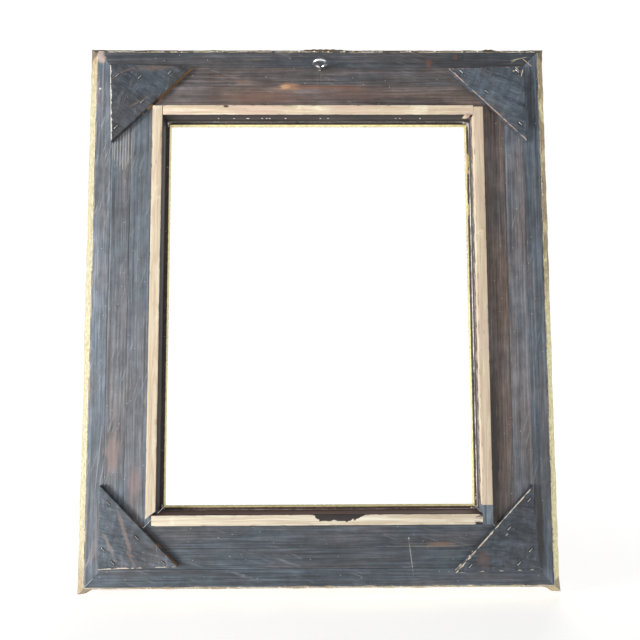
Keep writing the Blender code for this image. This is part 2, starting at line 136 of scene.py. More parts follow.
class Nodes:
    """Builds one material's nodes."""

    def __init__(self, name):
        self.material = bpy.data.materials.new(name)
        self.material.use_nodes = True
        self.tree = self.material.node_tree
        self.shader = self.tree.nodes["Principled BSDF"]
        self.place = self.local_place()

    def add(self, kind, inputs, **settings):
        node = self.tree.nodes.new("ShaderNode" + kind)
        for key, value in settings.items():
            setattr(node, key, value)
        for key, value in inputs.items():
            self.put(node.inputs[key], value)
        return node

    def put(self, socket, value):
        if isinstance(value, bpy.types.NodeSocket):
            self.tree.links.new(value, socket)
        else:
            socket.default_value = value

    def local_place(self):
        """Object coordinates measured from the frame's centre."""
        return self.minus(self.add("TexCoord", {}).outputs["Object"], CENTRE)

    def minus(self, vector, centre):
        return self.add("VectorMath", {0: vector, 1: centre}, operation="SUBTRACT").outputs[0]

    def length(self, vector):
        return self.add("VectorMath", {0: vector}, operation="LENGTH").outputs["Value"]

    def attribute(self, name):
        return self.add("Attribute", {}, attribute_name=name).outputs["Vector"]

    def parts(self, vector):
        node = self.add("SeparateXYZ", {0: vector})
        return node.outputs[0], node.outputs[1], node.outputs[2]

    def stretch(self, vector, scale):
        return self.add("VectorMath", {0: vector, 1: scale}, operation="MULTIPLY").outputs[0]

    def turned(self, vector, angle, axis="Z_AXIS"):
        inputs = {"Vector": vector, "Angle": math.radians(angle)}
        return self.add("VectorRotate", inputs, rotation_type=axis).outputs[0]

    def noise(self, vector, scale, detail=4.0, roughness=0.55):
        inputs = {"Vector": vector, "Scale": scale, "Detail": detail, "Roughness": roughness}
        return self.add("TexNoise", inputs).outputs["Fac"]

    def streaks(self, vector, along, across, detail=4.0, roughness=0.55):
        """Noise drawn out along the first axis."""
        return self.noise(self.stretch(vector, (along, across, across)), 1.0, detail, roughness)

    def math(self, operation, a, b=0.0, clamp=False):
        return self.add("Math", {0: a, 1: b}, operation=operation, use_clamp=clamp).outputs[0]

    def product(self, *values):
        result = values[0]
        for value in values[1:]:
            result = self.math("MULTIPLY", result, value)
        return result

    def total(self, *values):
        result = values[0]
        for value in values[1:]:
            result = self.math("ADD", result, value)
        return result

    def band(self, value, low, high, to_low=0.0, to_high=1.0):
        """Smooth step from to_low, at low, to to_high, at high."""
        inputs = {0: value, 1: low, 2: high, 3: to_low, 4: to_high}
        return self.add("MapRange", inputs, interpolation_type="SMOOTHSTEP").outputs[0]

    def scale(self, value, low, high, to_low, to_high):
        return self.add("MapRange", {0: value, 1: low, 2: high, 3: to_low, 4: to_high}).outputs[0]

    def vary(self, value, low, high):
        """Spreads a noise over low to high."""
        return self.scale(value, *NOISE_RANGE, low, high)

    def ramp(self, value, *stops):
        node = self.add("ValToRGB", {0: value})
        elements = node.color_ramp.elements
        while len(elements) < len(stops):
            elements.new(0.5)
        for element, (position, color) in zip(elements, stops):
            element.position = position
            element.color = (*color, 1.0)
        return node.outputs[0]

    def mix(self, factor, a, b, blend="MIX"):
        node = self.add("Mix", {}, data_type="RGBA", blend_type=blend, clamp_factor=True)
        self.put(node.inputs[0], factor)
        for socket, color in ((node.inputs[6], a), (node.inputs[7], b)):
            self.put(socket, (*color, 1.0) if isinstance(color, tuple) else color)
        return node.outputs[2]

    def tinted(self, value, color):
        """Grey value times a colour."""
        return self.mix(1.0, value, color, "MULTIPLY")

    def spot(self, centre, size, turn=0.0, soft=0.5, ragged=0.5, wobble=None):
        """Mask of 1 inside a ragged ellipse on the frame's XZ plane."""
        if wobble is None:
            wobble = self.noise(self.place, 120.0, 3.0)
        spun = self.turned(self.minus(self.place, (centre[0], 0.0, centre[1])), turn, "Y_AXIS")
        reach = self.length(self.stretch(spun, (1.0 / size[0], 0.0, 1.0 / size[1])))
        shifted = self.total(reach, self.vary(wobble, -ragged, ragged))
        return self.band(shifted, 1.0 + soft / 2, 1.0 - soft / 2)

    def specks(self, vector, scale, size, share):
        """Mask of small scattered dots."""
        cells = self.add("TexVoronoi", {"Vector": vector, "Scale": scale})
        near = self.band(cells.outputs["Distance"], size, size * 0.6)
        pick = self.parts(cells.outputs["Color"])[0]
        return self.product(near, self.band(pick, 1.0 - share, 1.0 - share + 0.01))

    def bump(self, height, distance, strength=1.0):
        inputs = {"Height": height, "Distance": distance, "Strength": strength}
        self.put(self.shader.inputs["Normal"], self.add("Bump", inputs).outputs[0])

    def finish(self, color, roughness, metallic=None):
        self.put(self.shader.inputs["Base Color"], color)
        self.put(self.shader.inputs["Roughness"], roughness)
        if metallic is not None:
            self.put(self.shader.inputs["Metallic"], metallic)
        return self.material


# ---------------------------------------------------------------- wood and metal
def stain_layers(n, grain, tone):
    """Stained softwood: lengthwise grain, brush marks, warm worn streaks. Returns colour, height, cloud."""
    light, warmth, strokes = n.parts(tone)
    streak = n.streaks(grain, 3.4, 135.0, 6.0, 0.66)
    fine = n.streaks(grain, 12.0, 620.0, 3.0, 0.6)
    swirl = n.streaks(grain, 0.8, 17.0, 2.0, 0.5)
    rings = n.math("SINE", n.product(swirl, 150.0))
    lines = n.streaks(grain, 5.0, 270.0, 4.0, 0.65)
    strips = n.streaks(grain, 26.0, 6.0, 3.0, 0.5)
    cloud = n.noise(grain, 9.0, 5.0, 0.6)
    mottle = n.streaks(grain, 38.0, 75.0, 5.0, 0.7)
    level = n.product(
        n.vary(streak, 0.64, 1.38),
        n.vary(lines, 0.58, 1.44),
        n.vary(fine, 0.70, 1.30),
        n.scale(rings, -1.0, 1.0, 0.90, 1.08),
        n.vary(cloud, 0.76, 1.24),
        n.vary(strips, 0.90, 1.10),
        n.vary(mottle, 0.72, 1.30),
        light,
    )
    warm_noise = n.scale(n.streaks(grain, 5.0, 22.0, 4.0), 0.35, 0.65, -0.24, 0.24)
    warm = n.math("ADD", warmth, warm_noise, clamp=True)
    tint = n.mix(warm, (0.80, 1.0, 1.24), (1.30, 0.94, 0.78))
    color = n.tinted(tint, level)
    worn = n.product(
        n.band(n.streaks(grain, 6.0, 70.0, 5.0), 0.55, 0.70),
        n.band(cloud, 0.46, 0.62),
        n.scale(warm, 0.2, 0.8, 0.1, 0.75),
    )
    color = n.mix(worn, color, (0.250, 0.135, 0.095))
    slanted = n.stretch(n.turned(grain, 16.0), (14.0, 190.0, 190.0))
    brush = n.product(
        n.band(n.noise(slanted, 1.0, 4.0, 0.6), 0.54, 0.68),
        n.band(n.noise(grain, 14.0, 3.0), 0.48, 0.62),
        strokes,
    )
    color = n.mix(brush, color, (0.30, 0.315, 0.335))
    hairs = n.band(n.streaks(grain, 7.0, 800.0, 3.0, 0.6), 0.62, 0.74)
    color = n.mix(n.product(hairs, n.band(cloud, 0.42, 0.58), 0.55), color, (0.30, 0.30, 0.30))
    dust = n.specks(grain, 230.0, 0.20, 0.045)
    color = n.mix(n.product(dust, 0.85), color, (0.66, 0.66, 0.64))
    height = n.total(n.product(streak, 0.4), n.product(lines, 0.35))
    height = n.total(height, n.total(n.product(fine, 0.25), n.product(brush, 0.25)))
    return color, height, cloud


def marked(n, color, grain, marks):
    """Lays coloured spots over a colour, their rims drawn out along the grain. Each is
    (centre, size, turn, colour, strength, softness)."""
    drawn = n.streaks(grain, 28.0, 230.0, 4.0, 0.6)
    for centre, size, turn, mark, strength, soft in marks:
        mask = n.product(n.spot(centre, size, turn, soft, 0.30 + 0.25 * soft, drawn), strength)
        color = n.mix(mask, color, mark)
    return color


RED_BROWN = (0.190, 0.085, 0.055)
ORANGE_WOOD = (0.360, 0.200, 0.115)
PINK_WOOD = (0.300, 0.215, 0.195)
PALE_SCRATCH = (0.52, 0.50, 0.46)
CREAM = (0.68, 0.56, 0.40)
# Near-black stain, also used as painted shadow in the board marks and as partly painted shade round the
# staples.
BLACK_STAIN_AND_SHADOW = (0.016, 0.015, 0.017)
# Paint on the bottom wall of the rebate, and the height below which it is used.
RUSSET = (0.150, 0.085, 0.068)
BOTTOM_WALL = -0.380

# Marks on the boards; three of them are painted shadows, in whole or in part, beside two gussets and the
# right lath.
BOARD_MARKS_AND_SHADOWS = (
    ((-0.105, 0.427), (0.085, 0.011), 0, (0.190, 0.105, 0.080), 0.55, 1.0),
    ((-0.005, 0.4485), (0.085, 0.0040), 0, (0.240, 0.110, 0.065), 0.60, 0.9),
    ((-0.061, 0.4490), (0.020, 0.0070), 0, ORANGE_WOOD, 0.85, 0.9),
    ((-0.066, 0.4490), (0.010, 0.0040), 0, (0.60, 0.38, 0.22), 0.80, 0.9),
    ((0.060, 0.432), (0.070, 0.014), 0, (0.160, 0.092, 0.074), 0.50, 1.0),
    ((0.223, 0.497), (0.006, 0.010), 0, RED_BROWN, 0.55, 1.0),
    ((0.277, 0.511), (0.004, 0.006), 0, RED_BROWN, 0.45, 1.0),
    ((-0.325, 0.423), (0.012, 0.009), 0, ORANGE_WOOD, 0.70, 0.8),
    ((-0.339, -0.418), (0.009, 0.009), 0, ORANGE_WOOD, 0.70, 0.8),
    ((0.232, -0.4445), (0.020, 0.004), 0, ORANGE_WOOD, 0.40, 1.0),
    ((0.205, -0.4490), (0.060, 0.0012), 0, (0.42, 0.36, 0.27), 0.35, 0.9),
    ((-0.4203, -0.278), (0.0012, 0.050), -4.7, (0.38, 0.36, 0.37), 0.60, 0.8),
    ((-0.4134, -0.308), (0.0010, 0.024), -8.2, (0.40, 0.38, 0.39), 0.60, 0.8),
    ((-0.4222, -0.415), (0.0016, 0.055), 0.5, (0.34, 0.30, 0.31), 0.55, 0.9),
    ((-0.4260, -0.455), (0.0050, 0.020), -12, (0.30, 0.26, 0.27), 0.45, 1.0),
    # Partly painted shadow cast to the right of the top-right gusset, partly black stain.
    ((0.4275, 0.415), (0.0090, 0.060), 0, BLACK_STAIN_AND_SHADOW, 0.60, 0.7),
    # Painted shadow cast by the right lath onto the right rail's inner strip.
    ((0.3360, -0.250), (0.0085, 0.150), 0, BLACK_STAIN_AND_SHADOW, 0.62, 0.8),
    ((0.1730, 0.418), (0.0850, 0.009), 0, BLACK_STAIN_AND_SHADOW, 0.42, 0.8),
    ((0.1900, 0.450), (0.2200, 0.060), 0, BLACK_STAIN_AND_SHADOW, 0.13, 1.0),
    ((0.2000, -0.450), (0.2200, 0.060), 0, BLACK_STAIN_AND_SHADOW, 0.10, 1.0),
    ((-0.3650, 0.215), (0.0560, 0.170), 0, (0.050, 0.044, 0.038), 0.24, 1.0),
    ((-0.4250, -0.250), (0.0180, 0.180), 0, (0.060, 0.052, 0.044), 0.16, 1.0),
    # Painted shadow to the right of the bottom-right gusset, over brown stain.
    ((0.4195, -0.418), (0.0060, 0.074), 0, (0.060, 0.040, 0.030), 0.70, 0.5),
    ((-0.394, -0.272), (0.012, 0.034), 0, PINK_WOOD, 0.55, 1.0),
    ((-0.352, -0.330), (0.010, 0.030), 0, PINK_WOOD, 0.50, 1.0),
    ((-0.436, 0.512), (0.008, 0.014), 20, (0.60, 0.46, 0.38), 0.70, 0.8),
    ((0.0027, 0.468), (0.0005, 0.020), 0, BLACK_STAIN_AND_SHADOW, 0.55, 0.5),
    ((0.1725, -0.4665), (0.0007, 0.0275), 7.0, PALE_SCRATCH, 0.60, 0.6),
    ((0.1690, -0.4340), (0.0014, 0.0018), 0, PALE_SCRATCH, 0.80, 0.5),
    ((0.4085, 0.5085), (0.016, 0.0007), 12, CREAM, 0.75, 0.5),
    ((0.4210, 0.5010), (0.012, 0.0007), -42, CREAM, 0.75, 0.5),
    ((0.3960, 0.5040), (0.009, 0.0006), 35, CREAM, 0.60, 0.5),
)

PLATE_MARKS = (
    ((-0.322, 0.484), (0.032, 0.005), 4, (0.150, 0.100, 0.082), 0.60, 1.0),
    ((-0.380, 0.478), (0.020, 0.002), 20, (0.150, 0.100, 0.082), 0.55, 1.0),
    ((-0.352, 0.415), (0.024, 0.0015), 28, (0.170, 0.120, 0.100), 0.55, 1.0),
    ((0.307, -0.471), (0.011, 0.013), 0, (0.135, 0.080, 0.066), 0.55, 1.0),
    ((-0.364, -0.420), (0.0032, 0.045), 18, (0.230, 0.175, 0.155), 0.65, 1.0),
    ((-0.392, -0.444), (0.0034, 0.025), 25, (0.250, 0.215, 0.200), 0.65, 1.0),
    ((-0.352, -0.465), (0.0020, 0.018), 30, (0.190, 0.140, 0.120), 0.60, 1.0),
    ((0.397, 0.482), (0.006, 0.0010), -50, CREAM, 0.80, 0.5),
    ((0.4075, 0.474), (0.008, 0.0009), 75, CREAM, 0.80, 0.5),
    ((0.392, 0.478), (0.003, 0.0012), 20, CREAM, 0.70, 0.5),
    ((0.340, -0.400), (0.004, 0.0010), 60, PALE_SCRATCH, 0.70, 0.5),
    ((0.352, -0.425), (0.003, 0.0010), 40, PALE_SCRATCH, 0.70, 0.5),
)


def stained_boards():
    n = Nodes("stained_boards")
    grain = n.attribute("grain")
    color, height, cloud = stain_layers(n, grain, n.attribute("tone"))
    across, deep, up = n.parts(n.place)
    comb = n.band(n.math("SINE", n.total(n.product(across, 1150.0), n.product(cloud, 2.0))), 0.30, 0.85)
    comb = n.product(comb, n.spot((-0.388, 0.328), (0.021, 0.046), 0, 0.35, 0.2), 0.85)
    color = n.mix(comb, color, (0.40, 0.375, 0.34))
    color = marked(n, color, grain, BOARD_MARKS_AND_SHADOWS)
    edge, bare, _ = n.parts(n.attribute("wear"))
    chip = n.total(n.streaks(grain, 45.0, 160.0, 4.0), n.product(edge, 0.22))
    color = n.mix(n.product(n.band(chip, 0.70, 0.80), n.band(edge, 0.3, 0.8)), color, (0.36, 0.29, 0.21))
    # The rebate's walls: near-black, partly dark paint and partly painted shade; russet on the bottom wall,
    # pale crust near the front.
    dark_wall_and_shade = n.tinted((0.034, 0.026, 0.022), n.vary(cloud, 0.5, 1.5))
    dark_wall_and_shade = n.mix(n.band(up, BOTTOM_WALL, BOTTOM_WALL - 0.004), dark_wall_and_shade, RUSSET)
    flakes = n.band(n.streaks(grain, 60.0, 160.0, 4.0, 0.7), 0.40, 0.66)
    crust = n.mix(n.product(flakes, n.band(deep, 0.0100, 0.0020)), (0.072, 0.060, 0.058), (0.46, 0.44, 0.44))
    color = n.mix(n.product(bare, 0.88), color, n.mix(n.band(across, 0.300, 0.304), dark_wall_and_shade, crust))
    rough_value = n.scale(n.total(cloud, height), 0.6, 1.4, 0.46, 0.72)
    n.bump(height, 0.0009, 0.6)
    return n.finish(color, rough_value)


def stained_plates():
    n = Nodes("stained_plates")
    grain = n.attribute("grain")
    color, height, cloud = stain_layers(n, n.stretch(grain, (4.0, 0.45, 1.0)), n.attribute("tone"))
    color = marked(n, color, grain, PLATE_MARKS)
    edge, bare, rim = n.parts(n.attribute("wear"))
    _, _, deep = n.parts(grain)
    plies = n.math("SINE", n.product(deep, 2100.0))
    ply = n.mix(n.band(plies, -0.3, 0.3), (0.330, 0.165, 0.075), (0.450, 0.270, 0.140))
    ply = n.tinted(ply, n.vary(cloud, 0.45, 1.35))
    ply = n.mix(n.band(rim, 0.55, 0.35), ply, (0.66, 0.55, 0.42))
    patches = n.vary(n.noise(n.place, 75.0, 4.0, 0.6), -0.35, 0.35)
    color = n.mix(n.product(n.band(n.total(bare, patches), 0.42, 0.60), n.band(bare, 0.0, 0.05)), color, ply)
    torn = n.streaks(grain, 70.0, 130.0, 4.0, 0.65)
    mask = n.band(n.total(torn, n.product(edge, 0.5)), 0.78, 0.86)
    # Pale rims on the plates' edges: partly worn arrises, partly painted highlight on edges that face the
    # lamp on the left.
    rim_color = n.mix(rim, (0.70, 0.64, 0.52), (0.44, 0.27, 0.20))
    color = n.mix(n.product(mask, n.band(edge, 0.05, 0.2)), color, rim_color)
    dents_and_shade = n.specks(grain, 95.0, 0.13, 0.10)
    for node in sorted(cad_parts):
        if "_staple_" in node:
            low, high = local_box(node)
            middle = (low + high) / 2
            away = n.minus(n.place, (middle.x, 0.0, middle.z))
            flat = n.stretch(n.turned(away, staple_turn(node), "Y_AXIS"), (0.62, 0.0, 1.6))
            ring = n.band(n.total(n.length(flat), n.vary(cloud, -0.001, 0.001)), 0.0052, 0.0032)
            dents_and_shade = n.math("MAXIMUM", dents_and_shade, n.product(ring, 0.85))
    # The rings round the staples are darkened as dents and partly as painted shade; the scattered specks are
    # dents.
    color = n.mix(n.product(dents_and_shade, 0.9), color, BLACK_STAIN_AND_SHADOW)
    n.bump(n.math("SUBTRACT", height, n.product(dents_and_shade, 0.6)), 0.0008, 0.55)
    return n.finish(color, n.vary(cloud, 0.42, 0.66))


def raw_pine():
    n = Nodes("raw_pine")
    grain = n.attribute("grain")
    light, warmth, _ = n.parts(n.attribute("tone"))
    _, deep, up = n.parts(n.place)
    below = n.band(up, BOTTOM_WALL + 0.002, BOTTOM_WALL - 0.002)
    streak = n.streaks(grain, 4.0, 150.0, 5.0, 0.6)
    fine = n.streaks(grain, 25.0, 1100.0, 3.0, 0.6)
    swirl = n.streaks(grain, 2.2, 34.0, 2.0, 0.5)
    rings = n.band(n.math("SINE", n.product(swirl, 70.0)), -0.2, 1.0)
    cloud = n.noise(grain, 16.0, 4.0, 0.6)
    tans = ((0.30, (0.58, 0.45, 0.31)), (0.50, (0.74, 0.625, 0.455)), (0.70, (0.86, 0.77, 0.60)))
    pale = n.ramp(streak, *tans)
    color = n.mix(n.product(rings, 0.42), pale, (0.54, 0.38, 0.24))
    color = n.mix(n.product(n.band(cloud, 0.42, 0.62), warmth), color, (0.68, 0.50, 0.40))
    color = n.mix(n.product(n.band(cloud, 0.42, 0.28), 0.7), color, (0.90, 0.83, 0.64))
    color = n.tinted(color, n.product(n.vary(fine, 0.86, 1.12), n.scale(light, 0.0, 0.11, 0.0, 1.0)))
    edge, smear_and_shade, _ = n.parts(n.attribute("wear"))
    grime = n.streaks(grain, 40.0, 130.0, 4.0, 0.65)
    dirt = n.band(n.total(grime, n.product(edge, 0.16)), 0.60, 0.78)
    color = n.mix(n.product(dirt, 0.55), color, (0.200, 0.150, 0.110))
    # Dark paint on smears and on the laths' inner faces; on the inner faces it is partly painted shade.
    daub_and_shade = n.band(n.total(n.vary(grime, -0.25, 0.25), smear_and_shade), 0.42, 0.58)
    color = n.mix(below, color, n.tinted(color, (1.0, 1.06, 1.13)))
    russet = n.product(below, n.band(deep, -0.0112, -0.0100))
    paint = n.mix(russet, (0.026, 0.021, 0.020), RUSSET)
    color = n.mix(daub_and_shade, color, n.tinted(paint, n.vary(streak, 0.5, 1.6)))
    knot = n.spot((-0.182, 0.4025), (0.0050, 0.0022), 0, 0.8, 0.3)
    color = n.mix(knot, color, (0.090, 0.050, 0.030))
    n.bump(n.total(n.product(streak, 0.5), n.product(fine, 0.35)), 0.0005, 0.5)
    return n.finish(color, n.vary(streak, 0.62, 0.80))


def gilding():
    n = Nodes("gilding")
    paint, flank, relief = n.parts(n.attribute("wear"))
    across, _, up = n.parts(n.place)
    cloud = n.noise(n.place, 22.0, 5.0, 0.6)
    leaf = n.noise(n.place, 130.0, 4.0, 0.6)
    grit = n.noise(n.place, 900.0, 2.0, 0.6)
    gold = n.ramp(leaf, (0.30, (0.40, 0.24, 0.075)), (0.50, (0.66, 0.45, 0.17)), (0.72, (0.86, 0.67, 0.31)))
    grimy = n.product(n.band(cloud, 0.46, 0.66), 0.55)
    gold = n.mix(grimy, gold, (0.200, 0.120, 0.055))
    umber = n.band(n.total(relief, n.vary(cloud, -0.20, 0.20)), 0.66, 0.14)
    gold = n.mix(n.product(umber, 0.92), gold, (0.075, 0.042, 0.020))
    rubbed = n.product(n.band(relief, 0.80, 0.98), n.band(leaf, 0.56, 0.66))
    gold = n.mix(n.product(rubbed, 0.8), gold, (0.330, 0.075, 0.035))
    cream = n.ramp(leaf, (0.30, (0.31, 0.26, 0.14)), (0.50, (0.43, 0.39, 0.25)), (0.70, (0.55, 0.52, 0.37)))
    # Painted light: the right-hand flank's cream is made about twice as bright as the left's.
    cream = n.mix(n.band(across, 0.42, 0.46), cream, n.tinted(cream, (2.15, 2.15, 1.90)))
    inside_x = n.band(n.math("ABSOLUTE", across), 0.307, 0.305)
    inside_z = n.band(n.math("ABSOLUTE", up), 0.386, 0.384)
    yellow = n.ramp(leaf, (0.30, (0.58, 0.48, 0.16)), (0.50, (0.82, 0.74, 0.34)), (0.70, (0.90, 0.86, 0.50)))
    cream = n.mix(n.product(inside_x, inside_z), cream, yellow)
    # Tan patches: on the upper right flank partly tarnish and partly painted shade, elsewhere aged gilding.
    aged_and_shaded = n.product(n.band(across, 0.2, 0.42), n.band(up, -0.05, 0.10), n.band(cloud, 0.30, 0.52))
    beside_chip = n.band(n.math("ABSOLUTE", n.total(across, 0.196)), 0.055, 0.075)
    for patch in (
        n.product(n.band(up, 0.46, 0.53), beside_chip),
        n.product(n.band(up, -0.46, -0.53), n.band(across, 0.10, -0.02)),
        n.product(n.band(up, -0.518, -0.528), n.band(across, 0.380, 0.400)),
    ):
        aged_and_shaded = n.math("MAXIMUM", aged_and_shaded, patch)
    tan = n.ramp(leaf, (0.3, (0.20, 0.13, 0.07)), (0.7, (0.46, 0.36, 0.22)))
    cream = n.mix(n.product(aged_and_shaded, 0.85), cream, tan)
    # Darker again along the top flank inside these patches; on the upper right this is painted shade as well.
    soiled_and_shaded = n.product(n.band(up, 0.520, 0.532), aged_and_shaded, n.band(cloud, 0.62, 0.50))
    cream = n.mix(n.product(soiled_and_shaded, 0.75), cream, (0.085, 0.066, 0.052))
    cream = n.mix(n.product(n.band(grit, 0.60, 0.70), 0.5), cream, (0.35, 0.24, 0.13))
    color = n.mix(flank, gold, cream)
    black = n.ramp(cloud, (0.30, (0.016, 0.012, 0.010)), (0.70, (0.060, 0.042, 0.034)))
    dusty = n.mix(n.product(n.specks(n.place, 230.0, 0.22, 0.09), 0.9), black, (0.60, 0.57, 0.52))
    for mask, strength, dirt in (
        (n.band(up, -0.374, -0.378), 0.8, (0.110, 0.062, 0.050)),
        (n.band(across, 0.297, 0.299), 0.8, (0.120, 0.100, 0.100)),
        (n.band(across, -0.297, -0.299), 0.7, (0.080, 0.056, 0.046)),
    ):
        dusty = n.mix(n.product(mask, strength), dusty, n.tinted(dirt, n.vary(leaf, 0.5, 1.5)))
    for centre, size in (((0.3015, 0.297), (0.0035, 0.020)), ((0.3010, 0.205), (0.0022, 0.012))):
        dusty = n.mix(n.spot(centre, size, 0, 0.5, 0.5, leaf), dusty, (0.66, 0.52, 0.22))
    color = n.mix(n.band(paint, 0.35, 0.65), color, dusty)
    shine = n.math("SUBTRACT", 0.92, n.total(flank, paint, n.product(umber, 0.6)), clamp=True)
    n.bump(n.total(n.product(leaf, 0.5), n.product(grit, 0.25)), 0.0006, 0.5)
    rough_value = n.math("ADD", n.vary(leaf, 0.26, 0.46), n.product(flank, 0.25), clamp=True)
    return n.finish(color, rough_value, shine)


def gesso():
    n = Nodes("gesso")
    lump = n.noise(n.place, 420.0, 4.0, 0.6)
    cloud = n.noise(n.place, 28.0, 4.0, 0.6)
    color = n.ramp(lump, (0.32, (0.40, 0.29, 0.17)), (0.48, (0.72, 0.64, 0.50)), (0.66, (0.88, 0.85, 0.77)))
    color = n.mix(n.product(n.band(cloud, 0.46, 0.60), 0.75), color, (0.46, 0.33, 0.19))
    n.bump(lump, 0.0008, 0.7)
    return n.finish(color, n.vary(lump, 0.75, 0.92))


def plaster():
    n = Nodes("old_glue")
    lump = n.noise(n.place, 380.0, 4.0, 0.6)
    color = n.ramp(lump, (0.34, (0.30, 0.25, 0.22)), (0.50, (0.70, 0.66, 0.62)), (0.66, (0.90, 0.88, 0.86)))
    n.bump(lump, 0.0006, 0.6)
    return n.finish(color, n.vary(lump, 0.60, 0.85))


def metal(name, dark, light, rust, roughness, scale):
    n = Nodes(name)
    coords = n.add("TexCoord", {}).outputs["Object"]
    cloud = n.noise(coords, scale, 5.0, 0.65)
    fine = n.noise(coords, scale * 6.0, 2.0)
    color = n.ramp(cloud, (0.30, dark), (0.65, light))
    spots = n.product(n.band(fine, 0.58, 0.70), rust)
    color = n.mix(spots, color, (0.15, 0.065, 0.030))
    n.bump(fine, 0.0002, 0.3)
    return n.finish(color, n.vary(cloud, roughness, roughness + 0.18), n.math("SUBTRACT", 1.0, spots))


BOARDS = stained_boards()
PLATES = stained_plates()
PINE = raw_pine()
GILT = gilding()
GESSO = gesso()
GLUE = plaster()
STEEL = metal("staple_wire", (0.34, 0.33, 0.32), (0.84, 0.84, 0.85), 0.5, 0.26, 600.0)
ZINC = metal("zinc_wire", (0.70, 0.71, 0.74), (0.92, 0.93, 0.96), 0.10, 0.12, 260.0)


# ---------------------------------------------------------------- mesh helpers
def set_vectors(mesh, name, values):
    layer = mesh.attributes.new(name, "FLOAT_VECTOR", "POINT")
    layer.data.foreach_set("vector", [part for value in values for part in value])


def add_piece(name, verts, faces, material, nodes=(), slot=None, body="frame", grain=None, wear=None,
              tone=(0.11, 0.3, 0.3), crease=38.0):
    mesh = bpy.data.meshes.new(name)
    mesh.from_pydata(verts, [], faces)
    work = bmesh.new()
    work.from_mesh(mesh)
    bmesh.ops.triangulate(work, faces=[face for face in work.faces if len(face.verts) > 4])
    bmesh.ops.recalc_face_normals(work, faces=work.faces)
    work.to_mesh(mesh)
    work.free()
    set_vectors(mesh, "grain", grain or verts)
    set_vectors(mesh, "wear", wear or [(0.0, 0.0, 0.0)] * len(verts))
    set_vectors(mesh, "tone", [tone] * len(verts))
    mesh.shade_smooth()
    mesh.set_sharp_from_angle(angle=math.radians(crease))
    mesh.materials.append(material)
    piece = bpy.data.objects.new(name, mesh)
    bpy.context.scene.collection.objects.link(piece)
    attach(piece, body)
    if nodes:
        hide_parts(*nodes)
    return piece


def swept_faces(rings, size):
    """Quads between rings of points, and the two end caps."""
    faces = []
    for ring in range(rings - 1):
        for index in range(size):
            a, b = ring * size + index, ring * size + (index + 1) % size
            faces.append((a, b, b + size, a + size))
    faces.append(tuple(range(size)))
    faces.append(tuple(range((rings - 1) * size, rings * size)))
    return faces


def section_normals(section):
    """Outward normals of a closed section of (out, depth, ...) points."""
    count = len(section)
    area = 0.0
    for index in range(count):
        a, b = section[index], section[(index + 1) % count]
        area += a[0] * b[1] - b[0] * a[1]
    turn = 1.0 if area > 0.0 else -1.0
    normals = []
    for index in range(count):
        a, b = section[index - 1], section[(index + 1) % count]
        normal = Vector(((b[1] - a[1]) * turn, (a[0] - b[0]) * turn))
        normals.append(normal.normalized())
    return normals


def bar(name, side, section, ends, spacing, shift, seed, wear_of=None, pull=None, **piece):
    """Sweep a closed section of (out, depth, edge) points along a side. shift moves a point along its normal
    and pull changes how far out it lies."""
    normals = section_normals(section)
    start, end = ends(0.0)
    count = max(3, round((end - start) / spacing))
    verts, grain, wear = [], [], []
    for station in range(count + 1):
        for index, (out, depth, edge) in enumerate(section):
            start, end = ends(out)
            along = start + (end - start) * station / count
            move = shift(along, out, depth, edge)
            normal = normals[index]
            reach = pull(along, out) if pull else out
            verts.append(place(side, along, reach + move * normal.x, depth + move * normal.y))
            grain.append((along + seed * 3.1, out + seed * 1.7, depth + seed * 0.9))
            wear.append(wear_of(along, out, depth, edge) if wear_of else (edge, 0.0, 0.0))
    return add_piece(name, verts, swept_faces(count + 1, len(section)), grain=grain, wear=wear, **piece)


def plank_section(inner, outer, back, front, inner_edge, outer_edge, inner_round, outer_round):
    """Section of a board with worn arrises on its back face."""
    margin = 0.003
    section = [(inner, front, 0.2), (inner, back + margin, 0.2), (inner, back + inner_round, inner_edge)]
    section += [(inner + 0.3 * inner_round, back + 0.3 * inner_round, inner_edge)]
    section += [(inner + inner_round, back, inner_edge), (inner + margin, back, 0.0)]
    for step in (0.25, 0.5, 0.75):
        section.append((inner + (outer - inner) * step, back, 0.0))
    section += [(outer - margin, back, 0.0), (outer - outer_round, back, outer_edge)]
    section += [(outer - 0.3 * outer_round, back + 0.3 * outer_round, outer_edge)]
    section += [(outer, back + outer_round, outer_edge), (outer, back + margin, 0.2), (outer, front, 0.2)]
    return section


def sweep(points, radius_at, sides, flat_normal):
    """Round wire along points in a plane. radius_at takes the point's index and the angle round the wire."""
    verts = []
    count = len(points)
    for index, point in enumerate(points):
        before, after = points[max(0, index - 1)], points[min(count - 1, index + 1)]
        tangent = (after - before).normalized()
        across = flat_normal.cross(tangent).normalized()
        for step in range(sides):
            angle = 2.0 * math.pi * step / sides
            radius = radius_at(index, angle)
            verts.append(point + (across * math.cos(angle) + flat_normal * math.sin(angle)) * radius)
    return verts, swept_faces(count, sides)


# ---------------------------------------------------------------- rails
# Tone of the outer, middle and inner strip: (lightness, warmth, brush marks). The lightness is partly the
# stain's own tone and partly painted light: the left rail's strips are set lighter, as if lit from the left.
RAIL_TONES_AND_LIGHT = {
    "top": ((0.064, 0.25, 0.25), (0.078, 0.58, 0.25), (0.106, 0.80, 0.20)),
    "right": ((0.106, 0.08, 0.30), (0.138, 0.40, 0.40), (0.102, 0.82, 0.15)),
    "bottom": ((0.085, 0.00, 0.35), (0.082, 0.08, 0.40), (0.078, 0.06, 0.30)),
    "left": ((0.158, 0.14, 0.95), (0.132, 0.22, 0.60), (0.130, 0.12, 0.60)),
}


def mitre(side):
    length = half_length(side)
    return lambda out: (-length - out + GAP, length + out - GAP)


